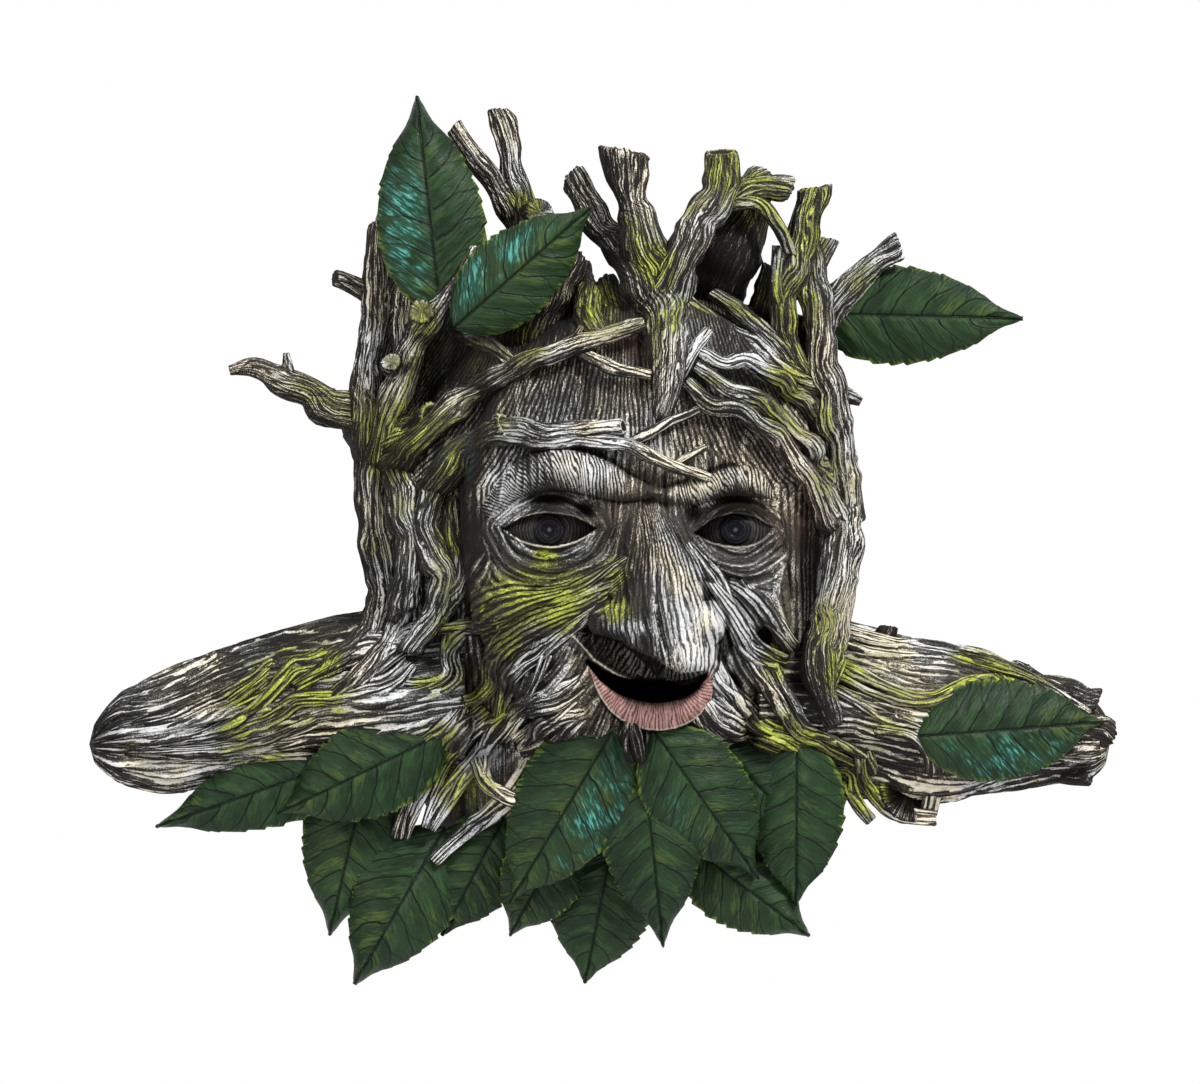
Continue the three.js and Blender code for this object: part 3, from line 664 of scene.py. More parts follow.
# The face: part of the same casting, carved finely. A broad nose with long grooves, heavy brows, bags
# under lidded eyes and an open crooked mouth, all turned a little to the viewer's right.
PATCH_STEPS = 293
PATCH_SINK = 3.0
FACE_BACK = 26
EYES = {
    "left": {
        "centre": (-15.2, 3.2),
        "upper": [(-28.3, 3.5), (-24, 6), (-18.5, 7.5), (-13.2, 7.5), (-7, 6.2), (-1.9, 3.5)],
        "lower": [(-28.3, 3.5), (-24, 0.8), (-18, -1), (-13, -1.2), (-7, 0.5), (-1.9, 3.5)],
        "fold": [(-30, 3), (-25, 8.5), (-17, 12), (-9, 10.8), (-3, 7), (0.5, 2)],
        "bag": [(-31, 1), (-28, -4.5), (-20, -9), (-12, -9.4), (-4, -6), (0, 1)],
        "pouch": [(-31, -5), (-22, -12.8), (-11, -13), (-1, -7)],
    },
    "right": {
        "centre": (38.9, 3.2),
        "upper": [(27.1, 2.2), (32, 5.8), (38.5, 7.5), (44, 6.6), (49.3, 3.9)],
        "lower": [(27.1, 2.2), (33, -0.4), (40, -1.3), (45.5, 0), (49.3, 3.9)],
        "fold": [(26, 4), (32, 9.5), (40, 11.8), (48, 9), (52.5, 3)],
        "bag": [(26, -1), (32, -6.5), (41, -8.5), (49, -6), (53, 0)],
        "pouch": [(28, -7), (36, -11.5), (45, -11.5), (52, -7)],
    },
}
# The lines round an eye: how deep and wide each is cut, and how proud the skin stands beside it.
EYE_LINES = (("fold", 1.5, 0.8, 0.5), ("bag", 0.7, 0.7, 0.2), ("pouch", 1.6, 1.8, 0))
EYEBALL_HALF_WIDTH, EYEBALL_HALF_HEIGHT, EYEBALL_RISE, EYEBALL_SINK = 15.5, 9.5, 7.0, 9.5
SOCKET_DEPTH = 9
# Only the socket on the viewer's right is painted in shade.
SHADED_SOCKET, SOCKET_SHADE = (38.9, 5.2), 0.76
LID_THICKNESS, LID_RIM = 1.2, 0.8
CHEEK_MIDDLES, CHEEK_RISE = ((-23, -20), (43, -20)), 4
# A roll of wood is its line, its half widths along it and its height. A brow adds how its strokes slant.
BROWS = [
    ([(-36, 8), (-31, 13), (-26, 17), (-17, 20.3), (-8, 20), (0, 17.6), (6, 15.4), (12, 14.5), (17, 14)],
     [3.4, 5.4, 6.2, 6.4, 6.6, 6.4, 5.4, 3.4, 0.8], 9, 0.5),
    ([(14, 14), (20, 13.2), (26, 13.4), (33, 15.2), (40, 16.8), (47, 16.6), (53.5, 13.6), (57.5, 9)],
     [0.8, 3.2, 4.8, 5.2, 5.4, 5.2, 4.8, 3], 8.5, 0.25),
]
BROW_STROKE = 1.05
BROW_GAP_MIDDLE = 14
# The nose from its root down: height on the face, its ridge's left and right edges, how far it stands out
# and where its left flank runs out. A wing is its middle, its half width and height, and its rise.
NOSE = [
    (15, 11, 17, 1, 8), (9, 12, 18.5, 4.5, 8), (4, 13, 21, 7, 7.5), (-2, 13.8, 24, 9.5, 6),
    (-8, 13.6, 26.6, 12.5, 3), (-14, 13.2, 28.6, 15.5, 1), (-20, 13.6, 30.4, 18.5, -2),
    (-26, 14.6, 31.6, 21, -2), (-31, 16, 32.4, 24, 5), (-36, 17, 32, 25.5, 12), (-40, 18.6, 30, 23.5, 16),
    (-42.8, 22, 26, 14, 20),
]
NOSE_STRINGS = 5.2
NOSE_GROOVE = 0.8
WINGS = [((3.8, -23), (8.2, 6.4), 10.5), ((30.8, -24), (5.6, 7.4), 18), ((24.3, -35.5), (8.4, 7.2), 27)]
# A lip adds how far apart its lines are.
UPPER_LIP = ([(-8, -27.4), (-1, -30.4), (6, -34.2), (14, -37.6), (22, -40.2), (30, -38)],
             [0.8, 4.6, 5.2, 4.8, 3, 1], 4.5, 1.5)
LOWER_LIP = (
    [(-3.2, -37), (0.6, -43), (5, -47.4), (10.5, -50.2), (17.2, -51), (24, -49.4), (29, -45.4),
     (31.4, -39.5)],
    [0.6, 2, 3.3, 4.1, 4.3, 4, 3.2, 1.2], 6, 0.95)
MOUTH_GAP = ([(-4, -35), (1, -39.6), (8, -42.8), (17, -43.8), (25, -42.4), (30, -39)],
             [0.6, 1.9, 3.2, 3.9, 3.2, 0.8], 14)
# Where the strings of the cheeks part: lines down the face, each with the number of its groove.
CHEEK_FANS = [
    [(0, [(-2, -9), (-15.7, -12.6), (-27.8, -11.6), (-37.1, -15.2), (-46, -24)]),
     (4, [(8.6, -5.2), (-1.4, -12.3), (-12.1, -15.4), (-22.8, -18.7), (-33.5, -24.4), (-46, -32)]),
     (10, [(5, -13.7), (-4.3, -20.9), (-12.8, -23.9), (-20.7, -28), (-28.5, -33.7), (-32.1, -39.4),
           (-35, -47), (-44, -54)]),
     (14, [(-1.4, -19.4), (-7.1, -26), (-12, -32), (-20.7, -37.3), (-26.4, -41), (-28.5, -47),
           (-31, -56)])],
    [(0, [(27.1, -9.5), (31.4, -18), (36.4, -26), (39.2, -32.3), (45, -38.5), (53, -44)]),
     (4, [(26.4, -3), (31.4, -10.9), (36.8, -18), (42, -25.2), (47.1, -33), (53, -39)]),
     (9, [(30, -8), (36, -10.6), (42, -12.3), (48.5, -18), (55.6, -29), (59, -36)])],
]
CHEEK_FOLDS = [
    ([(7, -8), (-2, -16), (-14, -22.5), (-26, -27.5), (-34, -36), (-37, -45)],
     [1.5, 2.4, 2.8, 2.8, 3, 3], 3.2),
    ([(8, -3), (-6, -11), (-24, -18.5), (-44, -26)], [1, 2.4, 2.6, 2.6], 2.4),
    ([(-34, -16), (-40, -24), (-45, -34), (-44, -42)], [2, 2.6, 3, 2.6], 2.6),
    ([(27, -4), (33, -14), (39, -25), (45, -35), (51, -40)], [1.2, 2.8, 3.2, 3, 2.6], 3.4),
    ([(38, -12), (45, -18), (52, -26), (57, -32)], [1.4, 2.4, 2.4, 2], 2.8),
    ([(-8, -34), (-15, -44), (-24, -50), (-32, -56)], [1.4, 2.6, 3, 3], 3),
    ([(34, -38), (39, -46), (48, -53), (58, -57)], [1.6, 2.8, 3, 3], 3),
]
# Hollows, cut and painted black as their shade, with painted shadows under the brows: middle, half width
# and height, and depth.
HOLLOWS = [
    ((-39.5, -38.5), (3.6, 6), 9), ((47.3, -28.5), (3.2, 4), 6), ((-18, -36), (4, 3), 4),
    ((38, -42), (3, 5), 5), ((57, -2), (3, 20), 8), ((-39, 6), (4, 9), 5), ((-51, -33), (3, 4), 5),
    ((-5, 9), (5, 4), 1.5), ((27, 8), (4, 5), 1.5), ((-15, 12.3), (10, 2.2), 1), ((38, 12), (10, 2), 1),
]
# How strongly the fine lines are drawn on each part of the face.
FOREHEAD_LINED, CHEEK_LINED, BROW_LINED = 0.6, 0.8, 0.85
NOSE_LINED, UPPER_LIP_LINED, LOWER_LIP_LINED = 0.9, 0.8, 0.55


def spread(values, share):
    """Numbers of a list, set evenly along a line, read at shares of its length."""
    return np.interp(share, np.linspace(0, 1, len(values)), values)


def beside(x, z, line):
    """How far places lie to a line's left, less than 0 to its right, how far along it, and its share."""
    _, share, dx, dz = nearest(x, z, line)
    points, shares = curve(line, LINE_STEP)
    px, pz = (np.interp(share, shares, axis) for axis in points.T)
    length = np.linalg.norm(np.diff(points, axis=0), axis=1).sum()
    return (z - pz) * dx - (x - px) * dz, share * length, share


def fanned(x, z, lines):
    """Strings that run between given lines: a count that is whole at each groove, and where they lie."""
    count, held = np.zeros(x.shape), np.zeros(x.shape)
    sides = [(number, *beside(x, z, line)) for number, line in lines]
    for (n0, s0, _, at), (n1, s1, _, _) in zip(sides[:-1], sides[1:]):
        between = (s0 > 0) & (s1 <= 0)
        count = np.where(between, n0 + (n1 - n0) * s0 / np.maximum(s0 - s1, 1e-6), count)
        held = np.where(between, ease(at, 0, 0.08) * (1 - ease(at, 0.9, 1)), held)
    return count, held


def mound(x, z, middle, half_width, half_height):
    """A soft mound, 1 in its middle."""
    return bump(np.hypot((x - middle[0]) / half_width, (z - middle[1]) / half_height), 1)


def roll(x, z, line, half_widths, height):
    """A rounded ridge along a line, and how deep inside it each place lies, 0 at its edge to 1."""
    distance, share, _, _ = nearest(x, z, line)
    half = spread(half_widths, share)
    inside = np.clip(1 - (distance / half) ** 2, 0, 1)
    return height * (half / max(half_widths)) ** 0.7 * np.sqrt(inside), inside


def eye_opening(x, z, eye):
    """How far places lie inside an eye's opening, in millimetres, less than 0 outside it."""
    upper, lower = (curve(eye[lid], 0.5)[0] for lid in ("upper", "lower"))
    inside = np.minimum(np.interp(x, *upper.T) - z, z - np.interp(x, *lower.T))
    ends = np.minimum(x - upper[0, 0], upper[-1, 0] - x)
    return np.minimum(inside, 0.6 * ends)


def ball_depth(x, z, centre):
    """How far an eyeball's front stands out from the wall, and 0 beside it."""
    cx, cz = centre
    root = head_form(np.array(cx), np.array(cz)) - EYEBALL_SINK
    share = 1 - ((x - cx) / EYEBALL_HALF_WIDTH) ** 2 - ((z - cz) / EYEBALL_HALF_HEIGHT) ** 2
    return np.where(share > 0, root + EYEBALL_RISE * np.sqrt(np.clip(share, 0, None)), 0)


class Carving:
    """The face as it is carved: its depth from the wall, and notes for the paint at each place."""

    def __init__(self, x, z):
        self.x, self.z = x, z
        self.base = head_form(x, z)
        self.depth = self.base.copy()
        labels = ("pink", "rim", "hollow", "ridge", "run", "lined")
        self.notes = {label: np.zeros(x.shape) for label in labels}

    def note(self, label, amount):
        """Raises a note to an amount where it was less."""
        self.notes[label] = np.maximum(self.notes[label], amount)

    def cut_lines(self, count, weight):
        """Notes fine lines side by side, over weaker ones that were there."""
        self.notes["run"] = np.where(weight >= self.notes["lined"], count, self.notes["run"])
        self.note("lined", weight)

    def add_roll(self, line, half_widths, height):
        """Raises a rounded ridge and gives how deep inside it each place lies."""
        rise, inside = roll(self.x, self.z, line, half_widths, height)
        self.depth += rise
        return inside


def carve_forehead_and_cheeks(face):
    """The forehead's lines, sunk eye sockets, and full cheeks with folds and parting strings."""
    x, z = face.x, face.z
    face.cut_lines(forehead_run(x, z), FOREHEAD_LINED * ease(z, 22, 28))
    for lines in CHEEK_FANS:
        count, held = fanned(x, z, lines)
        face.cut_lines(count, CHEEK_LINED * held)
    for eye in EYES.values():
        cx, cz = eye["centre"]
        face.depth -= SOCKET_DEPTH * mound(x, z, (cx, cz + 1), 19, 11)
    for middle in CHEEK_MIDDLES:
        face.depth += CHEEK_RISE * mound(x, z, middle, 14, 12)
    for line, half_widths, height in CHEEK_FOLDS:
        face.note("ridge", face.add_roll(line, half_widths, height))


def carve_brows(face):
    """Two heavy brows, stroked aslant."""
    x, z = face.x, face.z
    for line, half_widths, height, slant in BROWS:
        inside = face.add_roll(line, half_widths, height)
        above, along, _ = beside(x, z, line)
        waver = 1.3 * clouds(1.2 * x + 60, 0.5 * z + 60, 2.6, 23)
        weight = BROW_LINED * ease(inside, 0.02, 0.3) * ease(np.abs(x - BROW_GAP_MIDDLE), 6, 9)
        face.cut_lines((along + slant * above) / BROW_STROKE + waver, weight)


def nose_shape(x, z):
    """The nose's rise over the cheeks, how near a place is to its ridge, 0 to 1, and how far across it."""
    table = np.array(NOSE[::-1]).T
    left, right, height, outer = (np.interp(z, table[0], row) for row in table[1:])
    within = ease(z, -43.6, -41.5) * (1 - ease(z, 9, 16))
    t = (2 * x - left - right) / (right - left)
    ridge = np.clip(1 - np.abs(t) ** 2.6, 0, 1) ** 0.55
    flank = 0.8 * np.clip((x - outer) / (left + 2 - outer), 0, 1) ** 0.8 * (x < left + 2)
    flank = np.maximum(flank, 0.8 * np.clip((right + 3 - x) / 5, 0, 1) * (x > right - 2))
    return height * within * np.maximum(ridge, flank), ease(ridge, 0, 0.5) * within, t


def carve_nose(face):
    """The nose swells out of the cheeks, with long grooves down its ridge, between two wings."""
    x, z, notes = face.x, face.z, face.notes
    nose, ridge, across = nose_shape(x, z)
    swollen = (face.depth - face.base) ** 4 * (face.depth > face.base)
    for (wing_x, wing_z), (half_width, half_height), height in WINGS:
        wing = np.clip(1 - ((x - wing_x) / half_width) ** 2 - ((z - wing_z) / half_height) ** 2, 0, 1)
        swollen += (height * np.sqrt(wing)) ** 4
        face.note("ridge", 0.6 * wing ** 0.5)
    face.depth = np.minimum(face.depth, face.base) + (swollen + nose ** 4) ** 0.25
    waver = 1.3 * clouds(x + 90, 0.22 * z + 90, 4, 21) + 0.5 * clouds(2 * x + 40, 0.5 * z + 40, 2.5, 27)
    count = NOSE_STRINGS * across + waver
    groove = np.abs(np.sin(math.pi * count))
    face.depth -= NOSE_GROOVE * ridge * (1 - ease(groove, 0, 0.5)) * ease(z, 2, -10)
    worn = mix(0.5, 1, clouds(x + 30, 0.4 * z + 30, 3, 29))
    face.cut_lines(count, NOSE_LINED * ease(nose, 1, 4) * worn)
    notes["ridge"] = np.maximum(notes["ridge"] * (1 - ridge), ridge * ease(groove, 0.1, 0.7))


def carve_mouth(face):
    """A pink lower lip, darker on its inner side as painted shade, an upper one painted in shade with a
    pale edge, and the gap between them painted black as shade.
    """
    x, z, notes = face.x, face.z, face.notes
    for lip, lined in ((UPPER_LIP, UPPER_LIP_LINED), (LOWER_LIP, LOWER_LIP_LINED)):
        line, half_widths, height, pitch = lip
        rise, inside = roll(x, z, line, half_widths, height)
        face.depth = np.maximum(face.depth, face.base + 0.6 + rise * (inside > 0))
        count = beside(x, z, line)[1] / pitch + 1.2 * clouds(1.4 * x + 70, 0.5 * z + 70, 2.4, 25)
        face.cut_lines(count, lined * ease(inside, 0.02, 0.3))

    distance, share, _, _ = nearest(x, z, LOWER_LIP[0])
    half = spread(LOWER_LIP[1], share)
    above = beside(x, z, LOWER_LIP[0])[0]
    notes["pink"] = ease(1 - distance / half, 0, 0.15)
    # The lower lip's inner side is painted darker, as shade.
    face.note("hollow", 0.42 * notes["pink"] * ease(above / half, -0.3, 0.9))
    held = ease(share, 0.02, 0.1) * (1 - ease(share, 0.8, 0.95))
    notes["rim"] += 0.95 * bump(distance - half + 0.35, 0.5) * (above < 0) * held

    distance, share, _, _ = nearest(x, z, UPPER_LIP[0])
    half = spread(UPPER_LIP[1], share)
    below = beside(x, z, UPPER_LIP[0])[0] < 0
    edge = bump(distance - half + 0.4, 0.45) * below * (x > -9) * (x < 16)
    notes["rim"] += edge
    # The upper lip is painted dark, as shade, all but its pale edge.
    face.note("hollow", 0.7 * ease(1 - distance / half, 0, 0.3) * (1 - edge))

    line, half_widths, cut = MOUTH_GAP
    distance, share, _, _ = nearest(x, z, line)
    gape = 1 - ease(distance / spread(half_widths, share), 0.75, 1.05)
    face.depth -= cut * gape
    # The mouth's gap is painted black, as shade.
    face.note("hollow", 1.1 * gape)


def carve_eye(face, eye):
    """Lids that wrap the ball, with pale rims, and the fold above and the bags below them. The edge round
    the ball and the creases are painted dark as shade.
    """
    x, z, notes = face.x, face.z, face.notes
    cz = eye["centre"][1]
    inside = eye_opening(x, z, eye)
    ball = ball_depth(x, z, eye["centre"])
    lids = np.maximum(face.depth, ball + LID_THICKNESS)
    face.depth = np.where(ball > 0, mix(face.depth, lids, ease(inside, -9, -4)), face.depth)
    left, right = eye["upper"][0][0], eye["upper"][-1][0]
    rim = bump(inside + 0.6, 0.5) * ease(x, left - 0.5, left + 4) * ease(x, right + 0.5, right - 4)
    face.depth += LID_RIM * rim
    behind_ball = np.minimum(face.depth, ball - 2.0 * ease(inside, -0.2, 0.4))
    face.depth = np.where(inside > -0.2, behind_ball, face.depth)
    notes["rim"] += mix(0.85, 0.62, ease(z, cz - 1, cz + 1)) * rim * (ball > 0)
    # Round the ball the face is painted black, as shade.
    face.note("hollow", ease(inside, 0.1, 0.7))
    for label, cut, width, edge in EYE_LINES:
        distance, share, _, _ = nearest(x, z, eye[label])
        fade = np.sin(math.pi * np.clip(share, 0.02, 0.98)) ** 0.5
        face.depth -= cut * fade * bump(distance, width)
        face.note("ridge", edge * fade * bump(distance - 1.6, 0.7))
        # Each crease is painted dark, as its shade.
        face.note("hollow", 0.45 * fade * bump(distance, 0.7 * width))
    notes["lined"] *= 1 - ease(inside, -3, -1.5)


def carve_hollows(face):
    """Hollows beside the cheeks, brows and mouth, painted black as shade, and the painted shade in one
    socket.
    """
    face.note("hollow", SOCKET_SHADE * mound(face.x, face.z, SHADED_SOCKET, 18, 10.5))
    for middle, (half_width, half_height), cut in HOLLOWS:
        hole = mound(face.x, face.z, middle, half_width, half_height) ** 1.5
        face.depth -= cut * hole
        # The hollows are painted black, as their shade.
        face.note("hollow", 0.9 * hole)


def face_mesh():
    v, u = np.meshgrid(*[np.linspace(-1, 1, PATCH_STEPS)] * 2, indexing="ij")
    x, z = rounded_square(u, v, *FACE_PATCH)
    face = Carving(x, z)
    carve_forehead_and_cheeks(face)
    carve_brows(face)
    carve_nose(face)
    carve_mouth(face)
    for eye in EYES.values():
        carve_eye(face, eye)
    carve_hollows(face)
    depth, notes = face.depth, face.notes
    fine, coarse, grain = head_grain(x, z)
    carved = 1 - np.clip(0.3 * notes["pink"] + notes["hollow"], 0, 1) * 0.8
    proud = np.clip((depth - box_mean(depth, 11)) / 1.6, -1, 1)
    coarse_relief = 1.5 * (coarse - 0.5) * (1 - 0.6 * notes["ridge"])
    fine_relief = 0.9 * (fine - 0.5) * (1 - 0.7 * notes["lined"])
    depth += (coarse_relief + fine_relief) * carved
    depth += 0.6 * (np.abs(np.sin(math.pi * notes["run"])) - 0.6) * notes["lined"] * carved
    depth -= PATCH_SINK * (1 - ease(patch_edge(x, z), 0, 4))

    front = np.stack([x, -depth, z], axis=-1).reshape(-1, 3)
    edge = net_edge(PATCH_STEPS, PATCH_STEPS)
    back = front[edge] * [0.97, 0, 0.97] - [0, FACE_BACK, 0]
    new = len(front) + np.arange(len(edge))
    faces = sheet_faces(PATCH_STEPS, PATCH_STEPS) + band_faces(edge, new)
    faces += fan_faces(new, len(front) + len(edge))
    cx, cz = FACE_PATCH[0]
    points = np.concatenate([front, back, [[cx, -FACE_BACK, cz]]])

    notes.update(painted(x, z))
    strand = 0.8 * fine + 0.2 * coarse + 0.1 * notes.pop("ridge")
    notes["strand"] = np.clip(strand + 0.15 * proud, 0, 1)
    notes["gap"] = 0.055 + 0.1 * (1 - coarse)
    # Places sunk below their surroundings are painted dark, as shade.
    notes["hollow"] = np.maximum(notes["hollow"], ease(proud, -0.3, -1.0) * 0.7)
    unseen = len(points) - len(front)
    notes = {label: np.append(numbers.ravel(), np.zeros(unseen)) for label, numbers in notes.items()}
    return points, faces, notes, np.concatenate([grain.reshape(-1, 3), np.zeros((unseen, 3))])


points, faces, notes, grain = face_mesh()
face = casting("face", points, faces, bark, notes, grain)
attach(face, "root")
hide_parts("green_man_mask")

# The eyes: two dark glossy balls of the same casting, set behind the lids. Rings are painted on them for
# the iris, round a black pupil with a small blue-grey highlight painted in its middle as a glint.
EYE_RINGS, EYE_SPOKES = 34, 64
IRIS_RADIUS, PUPIL_RADIUS, GLINT_RADIUS = 5.2, 2.3, 0.9
IRIS_RISE, PUPIL_DENT = 0.5, 0.35
EYE_THICKNESS = 4
WHITE_SHADE, WHITE_PAINT = (0.012, 0.011, 0.010), (0.075, 0.07, 0.058)
IRIS_SHADE, IRIS_PAINT, IRIS_EDGE = (0.004, 0.004, 0.005), (0.030, 0.030, 0.036), (0.10, 0.09, 0.07)
PUPIL_BLACK, PAINTED_GLINT = (0.002, 0.002, 0.003), (0.10, 0.12, 0.17)


def eye_finish():
    paint = Finish("dark_glossy_eye")
    radius = paint.read("radius")
    grain = paint.read("grain", vector=True)
    ring = paint.noise(paint.stretch(grain, (0.35, 3.2, 1)), 1.0, 2)
    turns = paint.sum((radius, 1.05), (paint.noise(paint.stretch(grain, (0.8, 0.6, 1)), 1.0, 2), 1.2))
    cut = paint.times(paint.step(paint.grooves(turns), 0.3, 0.48), paint.step(ring, 0.35, 0.6, 0.25, 1))
    white = paint.blend(cut, WHITE_SHADE, WHITE_PAINT)
    iris = paint.blend(cut, IRIS_SHADE, IRIS_PAINT)
    colour = paint.blend(paint.step(radius, IRIS_RADIUS - 0.3, IRIS_RADIUS), iris, white)
    outer = paint.step(radius, IRIS_RADIUS - 0.6, IRIS_RADIUS - 0.15)
    line = paint.times(outer, paint.step(radius, IRIS_RADIUS + 0.3, IRIS_RADIUS))
    colour = paint.blend(paint.times(line, 0.25), colour, IRIS_EDGE)
    pupil = paint.step(radius, PUPIL_RADIUS + 0.2, PUPIL_RADIUS - 0.2)
    colour = paint.blend(pupil, colour, PUPIL_BLACK)
    # A painted highlight: a small blue-grey glint in the pupil's middle.
    colour = paint.blend(paint.step(radius, GLINT_RADIUS, 0.2, 0, 0.5), colour, PAINTED_GLINT)
    paint.feed(paint.shader.inputs["Base Color"], colour)
    paint.feed(paint.shader.inputs["Roughness"], paint.step(ring, 0.3, 0.7, 0.3, 0.45))
    paint.shader.inputs["Specular IOR Level"].default_value = 0.12
    paint.shader.inputs["Coat Weight"].default_value = 0.03
    paint.shader.inputs["Coat Roughness"].default_value = 0.12
    paint.relief(ring, 0.25, 0.0003)
    return paint.material


def spokes(count):
    return np.arange(count) * 2 * math.pi / count


def tube_faces(rows, columns):
    """The faces of a net joined into a tube, and of its two ends, round middles that come after it."""
    first, last = np.arange(columns), (rows - 1) * columns + np.arange(columns)
    ends = fan_faces(first, rows * columns) + fan_faces(last, rows * columns + 1)
    return sheet_faces(rows, columns, ring=True) + ends


def eyeball(centre):
    """A thin shell of an eyeball's front, and notes of how far each point is from its middle."""
    cx, cz = centre
    ring, spoke = np.meshgrid(np.linspace(0.02, 0.985, EYE_RINGS), spokes(EYE_SPOKES), indexing="ij")
    x = cx + EYEBALL_HALF_WIDTH * ring * np.cos(spoke)
    z = cz + EYEBALL_HALF_HEIGHT * ring * np.sin(spoke)
    radius = np.hypot(x - cx, z - cz)
    depth = ball_depth(x, z, centre) + IRIS_RISE * ease(radius, IRIS_RADIUS, IRIS_RADIUS - 1)
    depth -= PUPIL_DENT * ease(radius, PUPIL_RADIUS, PUPIL_RADIUS - 0.5)
    front = np.stack([x, -depth, z], axis=-1).reshape(-1, 3)
    back = front[-EYE_SPOKES:] * [1, 0, 1] - [0, depth[-1].min() - EYE_THICKNESS, 0]
    points = np.concatenate([front, back, [[cx, -depth[0].max(), cz], [cx, back[0, 1], cz]]])
    from_x, from_z = points[:, 0] - cx, points[:, 2] - cz
    radius, around = np.hypot(from_x, from_z), np.arctan2(from_z, from_x)
    grain = np.stack([around * 3, radius, 0 * radius], axis=-1)
    return points, {"radius": radius}, grain


eye_paint = eye_finish()
for side, eye in EYES.items():
    points, notes, grain = eyeball(eye["centre"])
    faces = tube_faces(EYE_RINGS + 1, EYE_SPOKES)
    ball = casting(f"eye_{side}", points, faces, eye_paint, notes, grain)
    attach(ball, "root")
    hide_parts("green_man_mask")

# The back: a flat slab of the same resin behind the head, with a keyhole sunk into it for the wall screw:
# a round well for the screw's head, a slot for its shank and a channel behind the slot's lips.
SLAB_DEPTH = 10
SLAB_CORNERS, SLAB_SHARE_OF_HEAD = 160, 0.992
KEYHOLE_Z, SCREW_HEAD_HOLE, SCREW_SHANK_SLOT = 34, 12, 6
SLOT_TRAVEL, SLOT_LIP, KEYHOLE_DEPTH = 14, 3, 9
ROUND_SIDES = 48
RESIN_SHADE, RESIN_PALE = (0.016, 0.014, 0.012), (0.045, 0.04, 0.034)


def plain_finish():
    """Bare dark resin, a little cloudy."""
    paint = Finish("plain_dark_resin")
    cloud = paint.noise(paint.place(), 60, 3)
    fine = paint.noise(paint.place(), 900, 3)
    paint.feed(paint.shader.inputs["Base Color"], paint.blend(cloud, RESIN_SHADE, RESIN_PALE))
    paint.feed(paint.shader.inputs["Roughness"], paint.step(cloud, 0.3, 0.7, 0.55, 0.75))
    paint.relief(paint.sum((fine, 0.6), (cloud, 0.8)), 0.3, 0.0005)
    return paint.material


plain_resin = plain_finish()


def prism(name, outline, front, back):
    """A closed block with an outline in x and z, between two distances from the wall."""
    count = len(outline)
    points = [(x, -depth, z) for depth in (back, front) for x, z in outline]
    ends = np.arange(2 * count).reshape(2, count)
    return casting(name, points, ends.tolist() + band_faces(*ends), plain_resin)


def circle(radius, middle_z):
    return [(radius * math.cos(a), middle_z + radius * math.sin(a)) for a in spokes(ROUND_SIDES)]


def block(half_width, low, high):
    return [(-half_width, low), (half_width, low), (half_width, high), (-half_width, high)]


u, v = np.cos(spokes(SLAB_CORNERS)), np.sin(spokes(SLAB_CORNERS))
size = SLAB_SHARE_OF_HEAD / np.maximum(np.abs(u), np.abs(v))
outline = np.stack(rounded_square(u * size, v * size, *HEAD, CROWN_SQUARENESS), axis=1)
slab = prism("back_slab", outline, SLAB_DEPTH, 0)
well = circle(SCREW_HEAD_HOLE / 2, KEYHOLE_Z)
slot = block(SCREW_SHANK_SLOT / 2, KEYHOLE_Z, KEYHOLE_Z + SLOT_TRAVEL)
channel = block(SCREW_HEAD_HOLE / 2, KEYHOLE_Z, KEYHOLE_Z + SLOT_TRAVEL + SCREW_HEAD_HOLE / 2)
cutters = [
    prism("well", well, KEYHOLE_DEPTH, -1),
    prism("slot", slot, KEYHOLE_DEPTH, -1),
    prism("channel", channel, KEYHOLE_DEPTH, SLOT_LIP),
]
for cutter in cutters:
    cut = slab.modifiers.new(cutter.name, "BOOLEAN")
    cut.operation = "DIFFERENCE"
    cut.solver = "EXACT"
    cut.object = cutter
    with bpy.context.temp_override(object=slab):
        bpy.ops.object.modifier_apply(modifier=cut.name)
    bpy.data.objects.remove(cutter)
slab.data.shade_flat()
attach(slab, "root")
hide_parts("green_man_mask")

# The shoulders: two logs, flat against the wall, that run out to broken ends. Their bark is carved in
# strings that bend round old knots, cast in one with the head.
# A log's stations are x, its middle's height, its half height and its depth.
LOGS = {
    "left": [(-40, -42, 24, 44), (-69, -45, 24, 40), (-94, -49.5, 22, 36), (-124, -55, 18, 30),
             (-141, -58, 13.5, 25), (-149.5, -60, 8.5, 20)],
    "right": [(46, -46, 24, 42), (68, -48, 25, 38), (98, -52.5, 22, 34), (126, -54.5, 16.5, 29),
              (140, -57, 13, 25), (148.5, -58.5, 9.5, 22)],
}
LOG_ROWS, LOG_SIDES = 110, 310
LOG_CORE_DEPTH = 12
# A knot on the side towards the wall is x, z and its radius.
LOG_KNOTS = {
    "left": [(-109, -59, 3.2), (-96, -36, 4), (-118, -42, 3), (-72, -36, 5)],
    "right": [(104, -42, 5), (88, -60, 8.5), (124, -52, 4), (76, -30, 4)],
}
LOG_GIRTH, LOG_ROUND, LOG_STRINGS = 140, 22, 68
LOG_UNEVEN, LOG_RIBS = 0.16, 0.05
STRING_LIFT, COARSE_LIFT, KNOT_LIFT = 1.4, 3.2, 1.6
LOG_TAPER_FROM, LOG_TAPER = 0.93, 0.6
LOG_SEEDS = {"left": 31, "right": 47}
LOG_MORE_CREAM = {"left": 0.74, "right": 0.40}
# Flush backs lie a hair apart, so that no two pieces share a face at the wall.
LOG_BACK = 0.3
